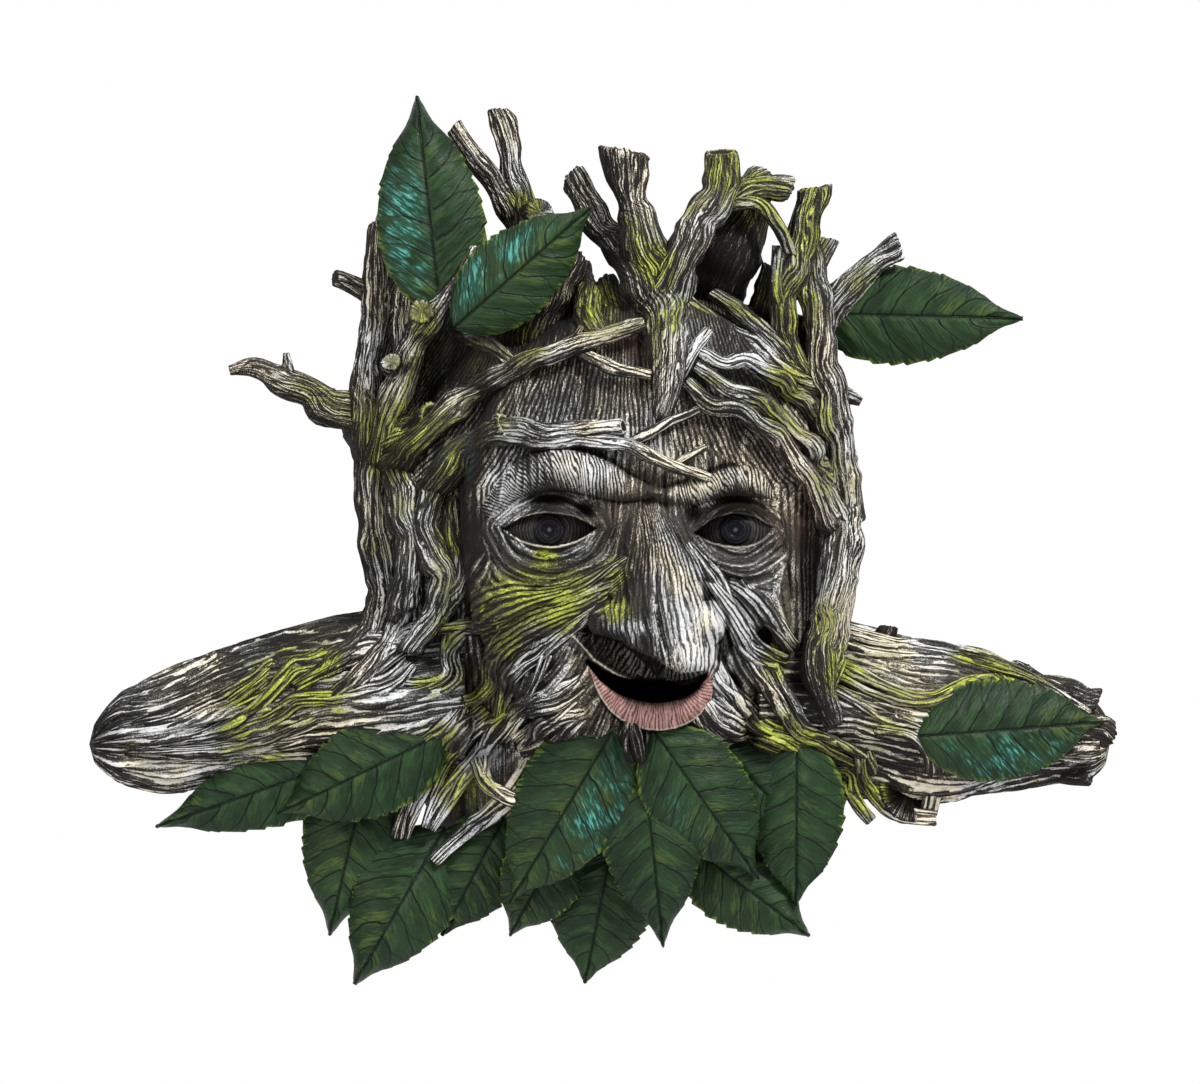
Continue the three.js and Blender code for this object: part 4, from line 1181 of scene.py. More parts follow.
# Strings wander and rise and sink along the wood, each over its own length.
STRING_LENGTHS = 97
STRING_WANDER, WANDER_LENGTH, PROUD_LENGTH = 1.4, 13, 15
STRING_SWAY, SWAY_LENGTH = 0.5, 9
LOWEST_STRING = 0.4


def log_at(stations, x):
    """The log's centre height, half height and depth at places across the mask; no depth past its ends."""
    table = np.array(sorted(stations)).T
    centre, half = (np.interp(x, table[0], row) for row in table[1:3])
    return centre, half, np.interp(x, table[0], table[3], left=0, right=0)


def strings(around, along, seed, count):
    """Raised strings round a limb, 0 to 1, some proud and some sunk, with around in turns.
    Also gives a count that is whole at each groove, and how far each string is sunk, 0 to 1."""
    table = np.random.default_rng(seed).random((count, STRING_LENGTHS))

    def level(a, b):
        i, j = np.floor(a).astype(int), np.floor(b).astype(int)
        s, t = ease(a - i, 0, 1), ease(b - j, 0, 1)
        i, i1, j, j1 = i % count, (i + 1) % count, j % STRING_LENGTHS, (j + 1) % STRING_LENGTHS
        return mix(mix(table[i, j], table[i1, j], s), mix(table[i, j1], table[i1, j1], s), t)

    run = around * count + STRING_SWAY * np.sin(along / SWAY_LENGTH + seed)
    run = run + STRING_WANDER * (level(around * count, along / WANDER_LENGTH) - 0.5)
    lengths = along / PROUD_LENGTH
    i, j = np.floor(run).astype(int), np.floor(lengths).astype(int)
    here, ahead = table[i % count, j % STRING_LENGTHS], table[i % count, (j + 1) % STRING_LENGTHS]
    proud = mix(here, ahead, ease(lengths - j, 0, 1))
    profile = np.clip(1 - (2 * (run - i) - 1) ** 2, 0, 1) ** 0.7
    return profile * mix(LOWEST_STRING, 1, proud), run, 1 - proud


def round_knots(x, z, here, knots):
    """How far the strings are pushed aside by the knots, and how near each place is to one."""
    shift, ring = np.zeros(x.shape), np.zeros(x.shape)
    for knot_x, knot_z, radius in knots:
        from_x, from_z = x - knot_x, z - knot_z
        r2 = np.maximum(from_x ** 2 + from_z ** 2, (0.55 * radius) ** 2)
        shift -= np.where(here, from_z * np.minimum(radius ** 2 / r2, 2.5), 0)
        ring = np.maximum(ring, bump(np.sqrt(r2), radius) * here)
    return shift, ring


def log_mesh(stations, knots, seed):
    """A log as a net of rows from its inner end out, with notes for the paint and the grain."""
    first, last = stations[0][0], stations[-1][0]
    t, angle = np.meshgrid(np.linspace(0, 1, LOG_ROWS), spokes(LOG_SIDES), indexing="ij")
    x = mix(first, last, t)
    centre, half, depth = log_at(stations, np.clip(x, min(first, last), max(first, last)))
    along, around = np.abs(x - first), LOG_ROUND * angle
    behind = np.cos(angle - math.pi) > 0
    shift, ring = round_knots(x, centre + half * np.sin(angle - math.pi / 2), behind, knots)
    wander = 5 * (clouds(along + 40, around * 0.4 + 40, 26, seed) - 0.5)
    v = around + shift + wander
    coarse = clouds(along * 0.16 + 50, v + 50, 4.5, seed + 1)
    strand, run, sunk = strings(v / LOG_GIRTH, along, seed + 2, LOG_STRINGS)
    strand = np.clip(strand ** 2 * (0.5 + coarse) * mix(0.2, 1, ease(along, 4, 22)), 0, 1)

    uneven = LOG_UNEVEN * (clouds(along + 20, around + 20, 16, seed + 3) - 0.5)
    uneven += LOG_RIBS * np.cos(5 * angle)
    to_end = np.clip(t - LOG_TAPER_FROM, 0, 1) / (1 - LOG_TAPER_FROM)
    taper = np.sqrt(1 - LOG_TAPER * to_end ** 2)
    torn = 1 + 0.12 * ease(t, 0.9, 1) * (clouds(around + 9, 0 * around, 4, seed + 4) - 0.5)
    lift = STRING_LIFT * (strand - 0.5) + COARSE_LIFT * (coarse - 0.5) + KNOT_LIFT * ring
    lift *= taper
    size = (1 + uneven) * taper
    y = -LOG_CORE_DEPTH + np.cos(angle - math.pi) * ((depth - LOG_CORE_DEPTH) * size + lift)
    z = centre + np.sin(angle - math.pi) * (half * size * torn + lift)
    points = np.stack([x, np.minimum(y, -LOG_BACK), z], axis=-1)
    notes = {
        "strand": strand,
        "run": run,
        "lined": np.full(x.shape, 0.95),
        "gap": 0.1 + 0.22 * sunk + 0.16 * (1 - coarse),
        "split": 0.6 * sunk,
    }
    return points, notes, np.stack([along, v, 0 * v], axis=-1)


for side, stations in LOGS.items():
    net, notes, grain = log_mesh(stations, LOG_KNOTS[side], LOG_SEEDS[side])
    outward = math.copysign(1.5, net[-1, 0, 0])
    middles = [net[0].mean(axis=0), net[-1].mean(axis=0) + [outward, 0, 0]]
    points = np.concatenate([net.reshape(-1, 3), middles])
    notes = {label: np.append(numbers, [0, 0]) for label, numbers in notes.items()}
    notes.update(painted(points[:, 0], points[:, 2]))
    notes["cream"] = notes["cream"] + LOG_MORE_CREAM[side]
    notes["moss"] = 0.7 * notes["moss"]
    grain = np.concatenate([grain.reshape(-1, 3), np.zeros((2, 3))])
    log = casting(f"log_{side}", points, tube_faces(LOG_ROWS, LOG_SIDES), bark, notes, grain)
    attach(log, "root")
    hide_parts("green_man_mask")

# The beard's core: a low dome of resin that the roots and leaves below the chin are cast onto.
# Only its dark strands show between them.
BEARD = ((3, -68), 57, 38)
BEARD_EDGE_DEPTH, BEARD_FRONT_DEPTH = 7, 34
CORE_RINGS, CORE_SPOKES = 44, 130
CORE_BACK = 0.6
ring, spoke = np.meshgrid(np.linspace(0.01, 1, CORE_RINGS), spokes(CORE_SPOKES), indexing="ij")
(centre_x, centre_z), half_width, half_height = BEARD
x = centre_x + half_width * ring * np.cos(spoke)
z = centre_z + half_height * ring * np.sin(spoke)
fine = clouds(x * 1.2 + 100, z * 0.12 + 100, 1.2, 61)
depth = mix(BEARD_EDGE_DEPTH, BEARD_FRONT_DEPTH, np.sqrt(np.clip(1 - ring ** 2, 0, 1)))
depth += 1.4 * (fine - 0.5) * (ring < 0.97)
front = np.stack([x, -depth, z], axis=-1).reshape(-1, 3)
back = front[-CORE_SPOKES:] * [1, 0, 1] - [0, CORE_BACK, 0]
points = np.concatenate([front, back, [front[:CORE_SPOKES].mean(axis=0), [centre_x, -CORE_BACK, centre_z]]])
x, z = points[:, 0], points[:, 2]
notes = painted(x, z)
notes["cream"] = 0.6 * notes["cream"]
notes["strand"] = np.append(fine, np.zeros(CORE_SPOKES + 2))
grain = np.stack([z, x, 0 * x], axis=-1)
core = casting("beard_core", points, tube_faces(CORE_RINGS + 1, CORE_SPOKES), bark, notes, grain)
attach(core, "root")
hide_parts("green_man_mask")

# The trunks beside the face and the lopped boughs of the crown: round lengths of carved wood, each cut
# blunt at its end, cast in one with the head. A route is x, z and how far it stands out from the broad
# form, with the wood's radius at even places along it.
OPEN_DEPTH = 20
ROW_STEP = 1.5
STRING_WIDTH = 1.6
SIDE_WIDTH = 0.5
FEWEST_SIDES, MOST_SIDES = 14, 70
# How deep a limb is sunk where it springs and where it is tied down, and over what length, in radii.
SPRING_SUNK, SPRING_LENGTH = 1.3, 2.4
TIED_SUNK, TIED_LENGTH = 1.2, 3
WAVER_LENGTH, WAVER_SHARE, MOST_WAVER = 8, 0.3, 1.3
SWELL, SWELL_LENGTH = 0.3, 6
LUMPS, SMALL_LUMPS = 0.34, 0.24
CARVED_SHARE, MOST_CARVED = 0.3, 0.75
SPLINTERS, SLANT = 0.5, 0.45
BOUGH_SEEDS, SEEDS_APART = 100, 20
BOUGH_BACK, BACKS_APART = 0.9, 0.1
# Boughs in a hollow get this much less cream and are painted darker still, as shade.
HOLLOW_SHADE = -0.7
# An end is closed by smaller and smaller rings: the size of each, and how far it bulges.
CAP_ROWS = [(0.93, 0.5), (0.8, 0.75), (0.66, 0.55), (0.4, 0.5), (0.16, 0.45)]
CAP_BULGE = 0.2
BOUGHS = {
    "trunks_left": [
        ([(-68, 27, 3), (-67, 4, 4), (-65, -14, 4), (-68, -27, 2), (-78, -36, 1), (-90, -43, -1)],
         [5.5, 5.5, 5.2, 4.6, 3.6, 2.4]),
        ([(-61, 24, 5), (-57, 6, 6), (-57, -10, 6), (-60, -25, 4), (-68, -37, 2), (-78, -45, 0)],
         [4.6, 4.8, 4.8, 4.2, 3.4, 2.2]),
        ([(-49, 17, 3), (-51, 5, 4), (-46, -7, 4), (-49, -22, 4), (-56, -32, 3)], [4.8, 5, 5.2, 4.6, 3.4]),
        ([(-43, 12, 1), (-43, 0, 2), (-41, -10, 2), (-48, -24, 2)], [3, 3.6, 3.8, 3]),
    ],
    "crown_left": [
        ([(-67, 22, 4), (-69, 46, 4), (-66, 66, 4), (-65, 92, 2)], [6.2, 5.2, 4.4, 3.8]),
        ([(-65, 70, 4), (-78, 77, 3)], [3.6, 2.8]),
        ([(-63, 62, 6), (-54, 79, 8)], [3, 2.4]),
        ([(-66, 24, 6), (-60, 44, 13), (-52, 62, 20), (-43, 73, 22), (-35, 85, 22)],
         [4.8, 4.2, 4.4, 3.8, 3]),
        ([(-62, 30, 4), (-72, 37, 3), (-84, 41.5, 3), (-93, 47, 4), (-101, 51, 5), (-109, 50, 5)],
         [8.4, 7, 5.4, 4.6, 3.4, 1.6]),
        ([(-91, 46, 4), (-92.5, 55, 5)], [2.4, 0.9]),
        ([(-58, 44, 0), (-57, 62, 4), (-53, 82, 4)], [7, 7, 4]),
        ([(-22, 62, -2), (-22, 92, 6), (-26, 108, 5), (-30, 126, 2)], [9, 5.6, 4.2, 3.4]),
        ([(-24, 92, 6), (-34, 108, 8), (-43, 121, 8)], [4.6, 3.6, 2.4]),
        ([(-25, 95, 7), (-18, 96, 16)], [5, 4.6]),
        ([(-24, 54, -2), (-19, 66, 10), (-10, 82, 14)], [11, 9, 5.8]),
        ([(-24, 50, 4), (-32, 57, 11), (-42, 61, 13)], [3, 2.4, 2]),
        ([(-67, 22, 6), (-58, 30, 8), (-50, 36, 8)], [6, 5, 4]),
        ([(-52, 66, 12), (-52.5, 67, 26)], [3.4, 3]),
        ([(-61, 51, 6), (-61.5, 52, 21)], [3.2, 2.8]),
    ],
    "crown_middle": [
        ([(17, 34, 0), (19, 44, 3), (19, 55, 6), (16.5, 72, 22), (12, 88, 24), (8.5, 101, 23),
          (6.5, 113, 22)],
         [2.6, 4.4, 6, 7.8, 6.4, 5.8, 5.4]),
        ([(15, 68, 10), (2, 90, 15), (-8, 106, 12)], [6.4, 5.2, 4]),
        ([(17, 70, 13), (28, 92, 21), (34, 102, 19), (35, 113, 17)], [6.6, 5.8, 4.8, 4.2]),
        ([(31, 97, 18), (43, 102, 15), (54, 103, 13)], [4.4, 3.8, 3.2]),
        ([(35, 99, 14), (47, 108, 6)], [4, 3.2]),
        ([(37, 98, 18), (45, 98.5, 18), (51, 93, 17), (55, 84, 14)], [2.2, 2.2, 2.2, 2.4]),
        ([(-1, 52, 0), (-3.5, 70, 14)], [7, 4.6]),
        ([(6, 54, -3), (1, 76, 14)], [4.4, 2.8]),
        ([(-5, 62, 2), (-5, 81, 4)], [5.2, 2.2]),
    ],
    # Boughs at the back of the crown, painted dark as the shade behind those in front.
    "crown_hollow": [
        ([(30, 66, 0), (36, 84, 2), (47, 106, 2)], [10, 9, 5]),
        ([(45, 58, 0), (48, 70, 1), (50, 80, 0)], [6.5, 5, 3]),
    ],
    # A knot hole and a stub on the right log, painted dark as shade.
    "log_hollow": [
        ([(90, -73, -15), (90.5, -73, 1.5)], [8.4, 8]),
        ([(80, -35, -4), (84.5, -25.5, -2)], [5, 2.2]),
    ],
    "log_knobs": [
        ([(130, -46, -6), (145, -48.5, -6)], [5.6, 4.6]),
        ([(131, -55, -2), (147, -56.5, -5)], [5.8, 4.6]),
        ([(128, -66, -6), (143, -68, -6)], [5.2, 4.2]),
    ],
    "crown_right": [
        ([(67, 42, 7), (56, 55, 8), (53, 67, 9), (56.5, 80, 10), (59.5, 91, 10), (63, 103, 10)],
         [3.4, 4, 4.8, 4.6, 4.4, 4.2]),
        ([(53, 67, 11), (51, 76, 13), (52, 86, 13)], [2.4, 2, 1.8]),
        ([(72, 6, 6), (69.5, 28, 7), (67, 43, 8), (64, 60, 8), (61, 88, 8)], [5.4, 4.8, 4.8, 4.6, 3]),
        ([(71, 10, 6), (68, -6, 7), (65, -20, 8), (64, -37, 7), (68, -54, 3)], [6, 5.6, 5.2, 4.8, 2.4]),
        ([(61, 58, 4), (72, 74, 7), (80, 81, 8), (87, 86, 9)], [5.8, 4.6, 3.8, 3]),
        ([(58, 72, 2), (66, 88, 2)], [4.6, 3.4]),
        ([(66, 46, 3), (76, 41, 3)], [3.4, 1.4]),
        ([(64, 40, 2), (70, 20, 3), (68, -20, 3), (64, -40, 2)], [5, 6, 6, 5]),
    ],
    "brow_boughs": [
        ([(-63, 20, 7), (-52, 30, 7), (-39, 42, 6), (-23, 51, 5), (-6, 57, 7), (12, 63, 9)],
         [5, 4.4, 4, 3.4, 2.8, 2]),
        ([(-9, 56, 4), (2, 51, 6), (14, 48, 6)], [2.4, 2, 1.5]),
        ([(-11, 54, 3), (-6, 62, 10)], [1.8, 1.2]),
        ([(-51, 12, 5), (-41, 25, 5), (-28, 33, 5)], [5, 4.8, 4.4]),
        ([(-39, 26, 4), (-30, 32, 5), (-12, 31.5, 4), (6, 33, 5)], [3.4, 3.8, 3, 2.2]),
        ([(-40, 24, 4), (-30, 31, 5), (-14, 29, 4), (-4, 29, 4), (8, 27.5, 4), (20, 22, 6), (31, 18, 6)],
         [3.2, 2.8, 2.8, 2.4, 2.2, 1.6]),
        ([(8, 28, 3), (19, 34, 3), (28, 38, 4)], [2.2, 1.8, 1.4]),
        ([(21, 22, 5), (30, 27, 4)], [1.6, 1.1]),
    ],
    "temple_boughs": [
        ([(67, 43, 8), (52, 51, 11), (43, 58, 11), (33, 64, 11), (23.5, 71, 14)], [3, 3, 2.8, 2.6, 2.4]),
        ([(59, 49, 10), (49, 60, 10), (41, 66, 10), (33, 72, 9)], [2.8, 2.8, 2.8, 2.6]),
        ([(68, 31, 8), (62, 39, 9), (50, 48, 9), (43, 53, 9), (35, 51.5, 8), (28, 55, 7)],
         [3, 3, 2.8, 2.6, 2.4, 2]),
        ([(71, 6, 8), (65, 18, 9), (59, 29, 9), (50, 39, 9), (43, 42, 8), (36, 44.5, 7), (27.5, 51, 6)],
         [4, 3.8, 3.4, 3, 3, 2.6, 2.2]),
        ([(67, 3, 7), (62, 15, 8), (55, 26, 8), (47, 33.5, 7), (39, 38, 6), (31, 40, 5), (24.5, 46, 4)],
         [4, 3.8, 3.4, 3, 3, 2.6, 2]),
        ([(21, 46, 5), (26.5, 55, 8), (31, 61, 11)], [2.8, 2.2, 1.6]),
    ],
}


def form(x, z):
    """How far the mask's broad masses stand out from the wall, before any carving."""
    x, z = np.asarray(x, float), np.asarray(z, float)
    head, beard = dome(x, z, *HEAD), dome(x, z, *BEARD)
    depths = [
        np.full_like(x, OPEN_DEPTH),
        np.where(head > 0, head_form(x, z), 0),
        np.where(beard > 0, mix(BEARD_EDGE_DEPTH, BEARD_FRONT_DEPTH, beard), 0),
    ]
    for stations in LOGS.values():
        centre, half, depth = log_at(stations, x)
        depths.append(depth * np.sqrt(np.clip(1 - ((z - centre) / half) ** 2, 0, None)))
    return np.max(depths, axis=0)


def on_form(points):
    """Given places, raised off the mask's broad form, as points in space."""
    x, z, rise = np.array(points, float).T
    return np.stack([x, -(form(x, z) + rise), z], axis=1)


def turned_out(ahead):
    """The direction square to a line's own that points most away from the wall."""
    outward = np.array([0, -1, 0]) + ahead * ahead[..., 1:2]
    return outward / np.linalg.norm(outward, axis=-1, keepdims=True)


def wandering_spine(route, radii, seed, tied):
    """A limb's middle line, sunk where it springs and uneven between its ends, and its radius along it."""
    spine, share = curve(on_form(route), ROW_STEP)
    radius = spread(radii, share)
    run = np.concatenate([[0], np.cumsum(np.linalg.norm(np.diff(spine, axis=0), axis=1))])
    spine[:, 1] += SPRING_SUNK * radius[0] * (1 - ease(run, 0, SPRING_LENGTH * radius[0]))
    if tied:
        spine[:, 1] += TIED_SUNK * radius[-1] * (1 - ease(run[-1] - run, 0, TIED_LENGTH * radius[-1]))
    waver = np.sin(math.pi * share) ** 0.5 * np.minimum(MOST_WAVER, WAVER_SHARE * radius)
    for axis in (0, 2):
        aside = clouds(run + 31 * seed, 0 * run + 3 + axis, WAVER_LENGTH, seed)
        spine[:, axis] += waver * 2 * (aside - 0.5)
    swell = SWELL * (clouds(run + 17 * seed, 0 * run + 11, SWELL_LENGTH, seed + 3) - 0.5)
    swell += 0.03 * bump(run[-1] - run - 1.5, 2.5) * (radius > 2)
    return spine, radius * (1 + swell), run


def carved_round(radius, run, angle, raised, seed):
    """A limb's radius at each place round it, with lumps and the relief of its strings."""
    along = run[:, None]
    lumps = LUMPS * (clouds(along + 7 * seed, 7 * np.sin(angle + seed) + 30, 8, seed) - 0.5)
    lumps += SMALL_LUMPS * (clouds(along + 5 * seed, 5 * np.cos(angle) + 30, 3.5, seed + 1) - 0.5)
    carving = np.minimum(MOST_CARVED, CARVED_SHARE * radius)[:, None]
    return radius[:, None] * (1 + lumps) + carving * (raised - 0.6)


def closed_rows(count):
    """The rows of a limb with both ends closed: which place of the spine each is at, its size and bulge."""
    sizes, bulges = np.array(CAP_ROWS).T
    ks = np.concatenate([[0] * len(sizes), range(count), [count - 1] * len(sizes)])
    size = np.concatenate([sizes[::-1], np.ones(count), sizes])
    bulge = CAP_BULGE * np.concatenate([-bulges[::-1], np.zeros(count), bulges])
    return ks, size, bulge


def sawn_end(size, raised, length):
    """The relief of an end: rings on a sawn bough, and split strings on a short knot."""
    rings = ease(size, 0.45, 0.9) * (0.6 + 0.4 * raised) + 0.3 * np.cos(24 * size)
    return mix(0.3 + 0.5 * raised, rings, ease(length, 10, 30))


def limb(route, radii, seed, tied=False):
    """A round length of wood: its points, faces, notes for the paint and grain. The seam faces the wall."""
    spine, radius, run = wandering_spine(route, radii, seed, tied)
    tangent = np.gradient(spine, axis=0)
    tangent /= np.linalg.norm(tangent, axis=1, keepdims=True)
    outward = turned_out(tangent)
    across = np.cross(tangent, outward)
    sides = int(np.clip(2 * math.pi * radius.max() / SIDE_WIDTH, FEWEST_SIDES, MOST_SIDES))
    angle = spokes(sides)
    count = max(4, round(2 * math.pi * radius.mean() / STRING_WIDTH))
    raised, string_run, low = strings(angle / (2 * math.pi), run[:, None] + 5 * seed, seed, count)
    reach = carved_round(radius, run, angle, raised, seed)
    splinters = (raised[-1] - 0.5) * np.clip(SPLINTERS * radius[-1] - 0.9, 0.2, 2.4)
    slant = SLANT * (radius[-1] > 2.2) * radius[-1] * np.sin(angle + 2.4 * seed)

    ks, size, bulge = closed_rows(len(spine))
    middle = spine[ks] + tangent[ks] * (bulge * radius[ks])[:, None]
    ring = np.sin(angle)[:, None] * across[ks][:, None] - np.cos(angle)[:, None] * outward[ks][:, None]
    net = middle[:, None] + (reach[ks] * size[:, None])[..., None] * ring
    at_end = size * ease(ks, len(spine) - 3, len(spine) - 1)
    net += at_end[:, None, None] * (splinters + slant)[:, None] * tangent[-1]
    points = np.concatenate([net.reshape(-1, 3), [net[0].mean(axis=0), net[-1].mean(axis=0)]])

    size = size[:, None]
    bough = ease(run[-1], 10, 30)
    relief = np.where(size < 1, sawn_end(size, raised[-1], run[-1]), raised[ks])
    # Where a limb lies close on the broad form its strings are painted darker, as the shade where they meet
    # it.
    sunk = 1 - ease(-net[..., 1] - form(net[..., 0], net[..., 2]), -0.5, 2.5)
    end = (size < 0.9) + 0 * sunk
    notes = {
        "strand": (relief * (1 - 0.5 * sunk), 0.5),
        "end": (end, 1),
        "core": ((ease(size, 0.6, 0.2) + 0 * sunk) * bough, bough),
        "run": (string_run[ks], 0),
        "lined": (0.85 * (1 - end), 0),
        "gap": (0.03 + 0.2 * low[ks] + 0.12 * sunk, 0),
        "split": (ease(radius[ks][:, None] + 1.5 * low[ks], 2.5, 5), 0),
    }
    notes = {label: np.append(numbers, [at_middle] * 2) for label, (numbers, at_middle) in notes.items()}
    grain = np.stack([
        run[ks][:, None] + 13.7 * seed + 0 * sunk,
        radius[ks][:, None] * angle + 5.3 * seed,
        0 * sunk,
    ], axis=-1).reshape(-1, 3)
    return points, tube_faces(len(ks), sides), notes, np.concatenate([grain, grain[:1], grain[-1:]])


def woodwork(name, routes, seed, more_cream=0.0, tied=False):
    """Several limbs as one piece."""
    limbs = [limb(route, radii, seed + k, tied) for k, (route, radii) in enumerate(routes)]
    all_points, all_faces, all_notes, all_grain = zip(*limbs)
    faces, start = [], 0
    for few_points, few_faces in zip(all_points, all_faces):
        faces += [[start + i for i in face] for face in few_faces]
        start += len(few_points)
    points = np.concatenate(all_points)
    points[:, 1] = np.minimum(points[:, 1], -BOUGH_BACK - BACKS_APART * (seed // SEEDS_APART % 8))
    notes = {label: np.concatenate([some[label] for some in all_notes]) for label in all_notes[0]}
    notes.update(painted(points[:, 0], points[:, 2]))
    notes["cream"] = notes["cream"] + more_cream + 0.08
    # Boughs in a hollow are painted dark as shade, most at their ends; the cores of long boughs' sawn ends
    # are darker too.
    shade = max(0, -more_cream) * (0.25 + 0.75 * notes["end"])
    notes["hollow"] = np.maximum(shade, 0.38 * notes.pop("core"))
    return casting(name, points, faces, bark, notes, np.concatenate(all_grain))


for number, (name, routes) in enumerate(BOUGHS.items()):
    more_cream = HOLLOW_SHADE if name.endswith("hollow") else 0.0
    wood = woodwork(name, routes, BOUGH_SEEDS + SEEDS_APART * number, more_cream)
    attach(wood, "root")
    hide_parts("green_man_mask")

# The roots: they spring from beside the nose and chin, run down over the cheeks and shoulders and hang
# as a beard. They lie close to the broad form, cast in one with it.
ROOTS = {
    "cheek_roots_left": [
        ([(8, -5, 2), (-8, -14, 1.5), (-21, -20, 1.5), (-34, -24, 1.5), (-46, -26, 2), (-57, -25.5, 2),
          (-62, -30, 1)],
         [2.2, 2.8, 3, 3, 3, 2.6, 1.6]),
        ([(4, -12, 2), (-14, -21, 1.5), (-26, -28, 1.5), (-32, -35, 2), (-33, -43, 2), (-40, -47, 2)],
         [2.6, 3.2, 3.4, 3.4, 3.2, 2.4]),
        ([(0, -18, 2), (-11, -27, 1), (-19, -33, 1), (-26, -38, 1.5), (-29, -46, 3), (-30, -53, 4)],
         [2.4, 2.6, 2.6, 2.6, 2.4, 1.6]),
        ([(-40, -25, 2), (-45, -32, 3), (-44, -39, 3), (-51, -43, 2), (-64, -43, 1)], [3, 3.2, 3.2, 3, 2]),
        ([(-16, -33, 2), (-19, -40, 3), (-22, -46, 4)], [1.6, 1.4, 1]),
        ([(-3, -47, 0), (-9, -50.5, 1), (-16, -55, 3), (-24, -60, 5)], [4.6, 5, 4.6, 3]),
        ([(-5, -39.5, 0), (-12, -44, 1), (-22, -49, 2), (-30, -57, 2)], [3, 3.6, 3.4, 2.6]),
    ],
    "log_roots_left": [
        ([(-63, -22, 2), (-75, -30, 1.5), (-83.5, -34.8, 1), (-91, -37, 1), (-94.5, -42, 1),
          (-102, -48.5, 0.5), (-114, -55, 0), (-139, -60, -1)],
         [2, 2.6, 3, 2.8, 2.8, 2.6, 2.4, 1.6]),
        ([(-56, -36, 2), (-61, -41, 2), (-71.8, -44, 1.5), (-80, -46, 1), (-89, -46, 1), (-97, -51, 0.5),
          (-113, -57, 0)], [2, 2.6, 2.8, 3, 3, 2.6, 1.8]),
        ([(-63.5, -28.5, 2), (-70, -33, 1), (-78, -38, 0.5)], [1.8, 2, 1.4]),
        ([(-58, -32, 2), (-66, -38, 1), (-74, -41, 0.5)], [2, 2.2, 1.4]),
        ([(-95, -34, 1), (-106, -43, 0.5), (-122, -50, 0), (-139, -55, -1)], [2, 2.6, 2.4, 1.6]),
        ([(-98, -39, 1), (-110, -47, 0.5), (-128, -54, 0)], [1.8, 2.2, 1.6]),
        ([(-84, -63, 1), (-97, -63.5, 1), (-110, -66, 0.5), (-128, -66, 0)], [2, 2.6, 2.4, 1.6]),
        ([(-84, -52, 1), (-94, -56, 1), (-106, -60, 0.5), (-124, -62, 0), (-140, -62, -1)],
         [2, 2.6, 2.6, 2.2, 1.4]),
        ([(-50, -54, 3), (-66, -58, 2), (-84, -58, 1), (-96, -60, 1)], [2.6, 3, 2.6, 2]),
    ],
    "beard_roots_left": [
        ([(-25, -49, 2), (-36, -60, 4), (-44, -70, 9), (-51, -84, 12)], [4.4, 4.6, 4, 2.4]),
        ([(-33, -50, 2), (-44, -60, 5), (-52, -70, 8), (-57, -79, 8), (-59, -87, 6)],
         [3.6, 4, 3.8, 3, 2.2]),
        ([(-19, -66, 5), (-32, -79, 9), (-49, -94, 10)], [3.4, 2.6, 1.6]),
        ([(-36, -64, 8), (-32, -73, 13), (-24, -76, 11)], [2.6, 2.6, 2]),
        ([(-40, -49, -2), (-52, -60, 5), (-62, -66, 3)], [3.4, 3.4, 2]),
        ([(9, -50, 1), (8.6, -57, 5), (11, -66, 8)], [2.8, 2.6, 2]),
    ],
    "cheek_roots_right": [
        ([(25, -1, 2), (33, -13, 1.5), (39, -23, 2), (45, -32, 3), (53, -36, 3)], [2, 3, 3.4, 3.2, 2.6]),
        ([(40, -12, 2), (48, -21, 2.5), (56, -31, 3)], [2.2, 2.6, 2]),
        ([(42, -28, 2), (50, -42, 3), (57, -54, 3), (69, -60, 2), (79, -66, 2)], [3, 3.4, 3.2, 3, 2.4]),
        ([(32, -34, 1), (38, -46, 1.5), (48, -55, 2), (62, -59, 2)], [2.6, 3.4, 3.2, 2.4]),
        ([(27, -46, 0), (36, -54, 2), (46, -58, 3), (58, -61, 4)], [4.6, 5, 4.6, 3.4]),
        ([(56, -60, 4), (58, -68, 5), (64, -72, 4), (70, -69, 4), (74, -76, 4), (79, -82, 3)],
         [3, 2.8, 2.8, 2.8, 2.4, 1.8]),
        ([(54, -62, 4), (56.5, -72, 6), (54, -82, 7)], [2.6, 2, 1.2]),
    ],
    "log_roots_right": [
        ([(66, -26, 3), (80, -30, 2), (98, -33, 1.5), (117, -38, 1.5), (133, -45, 0.5), (143, -51, 0)],
         [3.8, 4, 3.4, 3, 2.6, 2]),
        ([(66, -35, 2), (81, -43.5, 1.5), (95, -46.5, 1.5), (108, -41.5, 2), (121, -40, 1.5)],
         [3.2, 3, 2.8, 2.8, 2]),
        ([(66, -44, 2), (80, -50, 1), (96, -56, 1)], [3.4, 3.2, 2.2]),
        ([(100, -36, 1.5), (110, -36, 2), (118, -41, 1.5), (130, -47, 0.5)], [2, 2.6, 2.6, 2]),
        ([(76, -62, 2), (79.5, -72, 3), (86, -80, 3), (98, -81.5, 3)], [2.8, 3, 2.8, 2]),
        ([(80, -54, 2), (92, -57, 2), (98, -66, 3), (96, -80, 3)], [2.4, 2.8, 3, 2.2]),
        ([(124, -61, -2), (134, -62, -2), (146, -61, 0)], [3, 3.4, 2.4]),
        ([(114, -50, -2), (128, -50, -2), (143, -52, 0)], [2.4, 2.8, 2]),
    ],
}
ROOT_SEEDS, ROOT_SEEDS_APART = 300, 40
ROOT_MORE_CREAM = 0.06


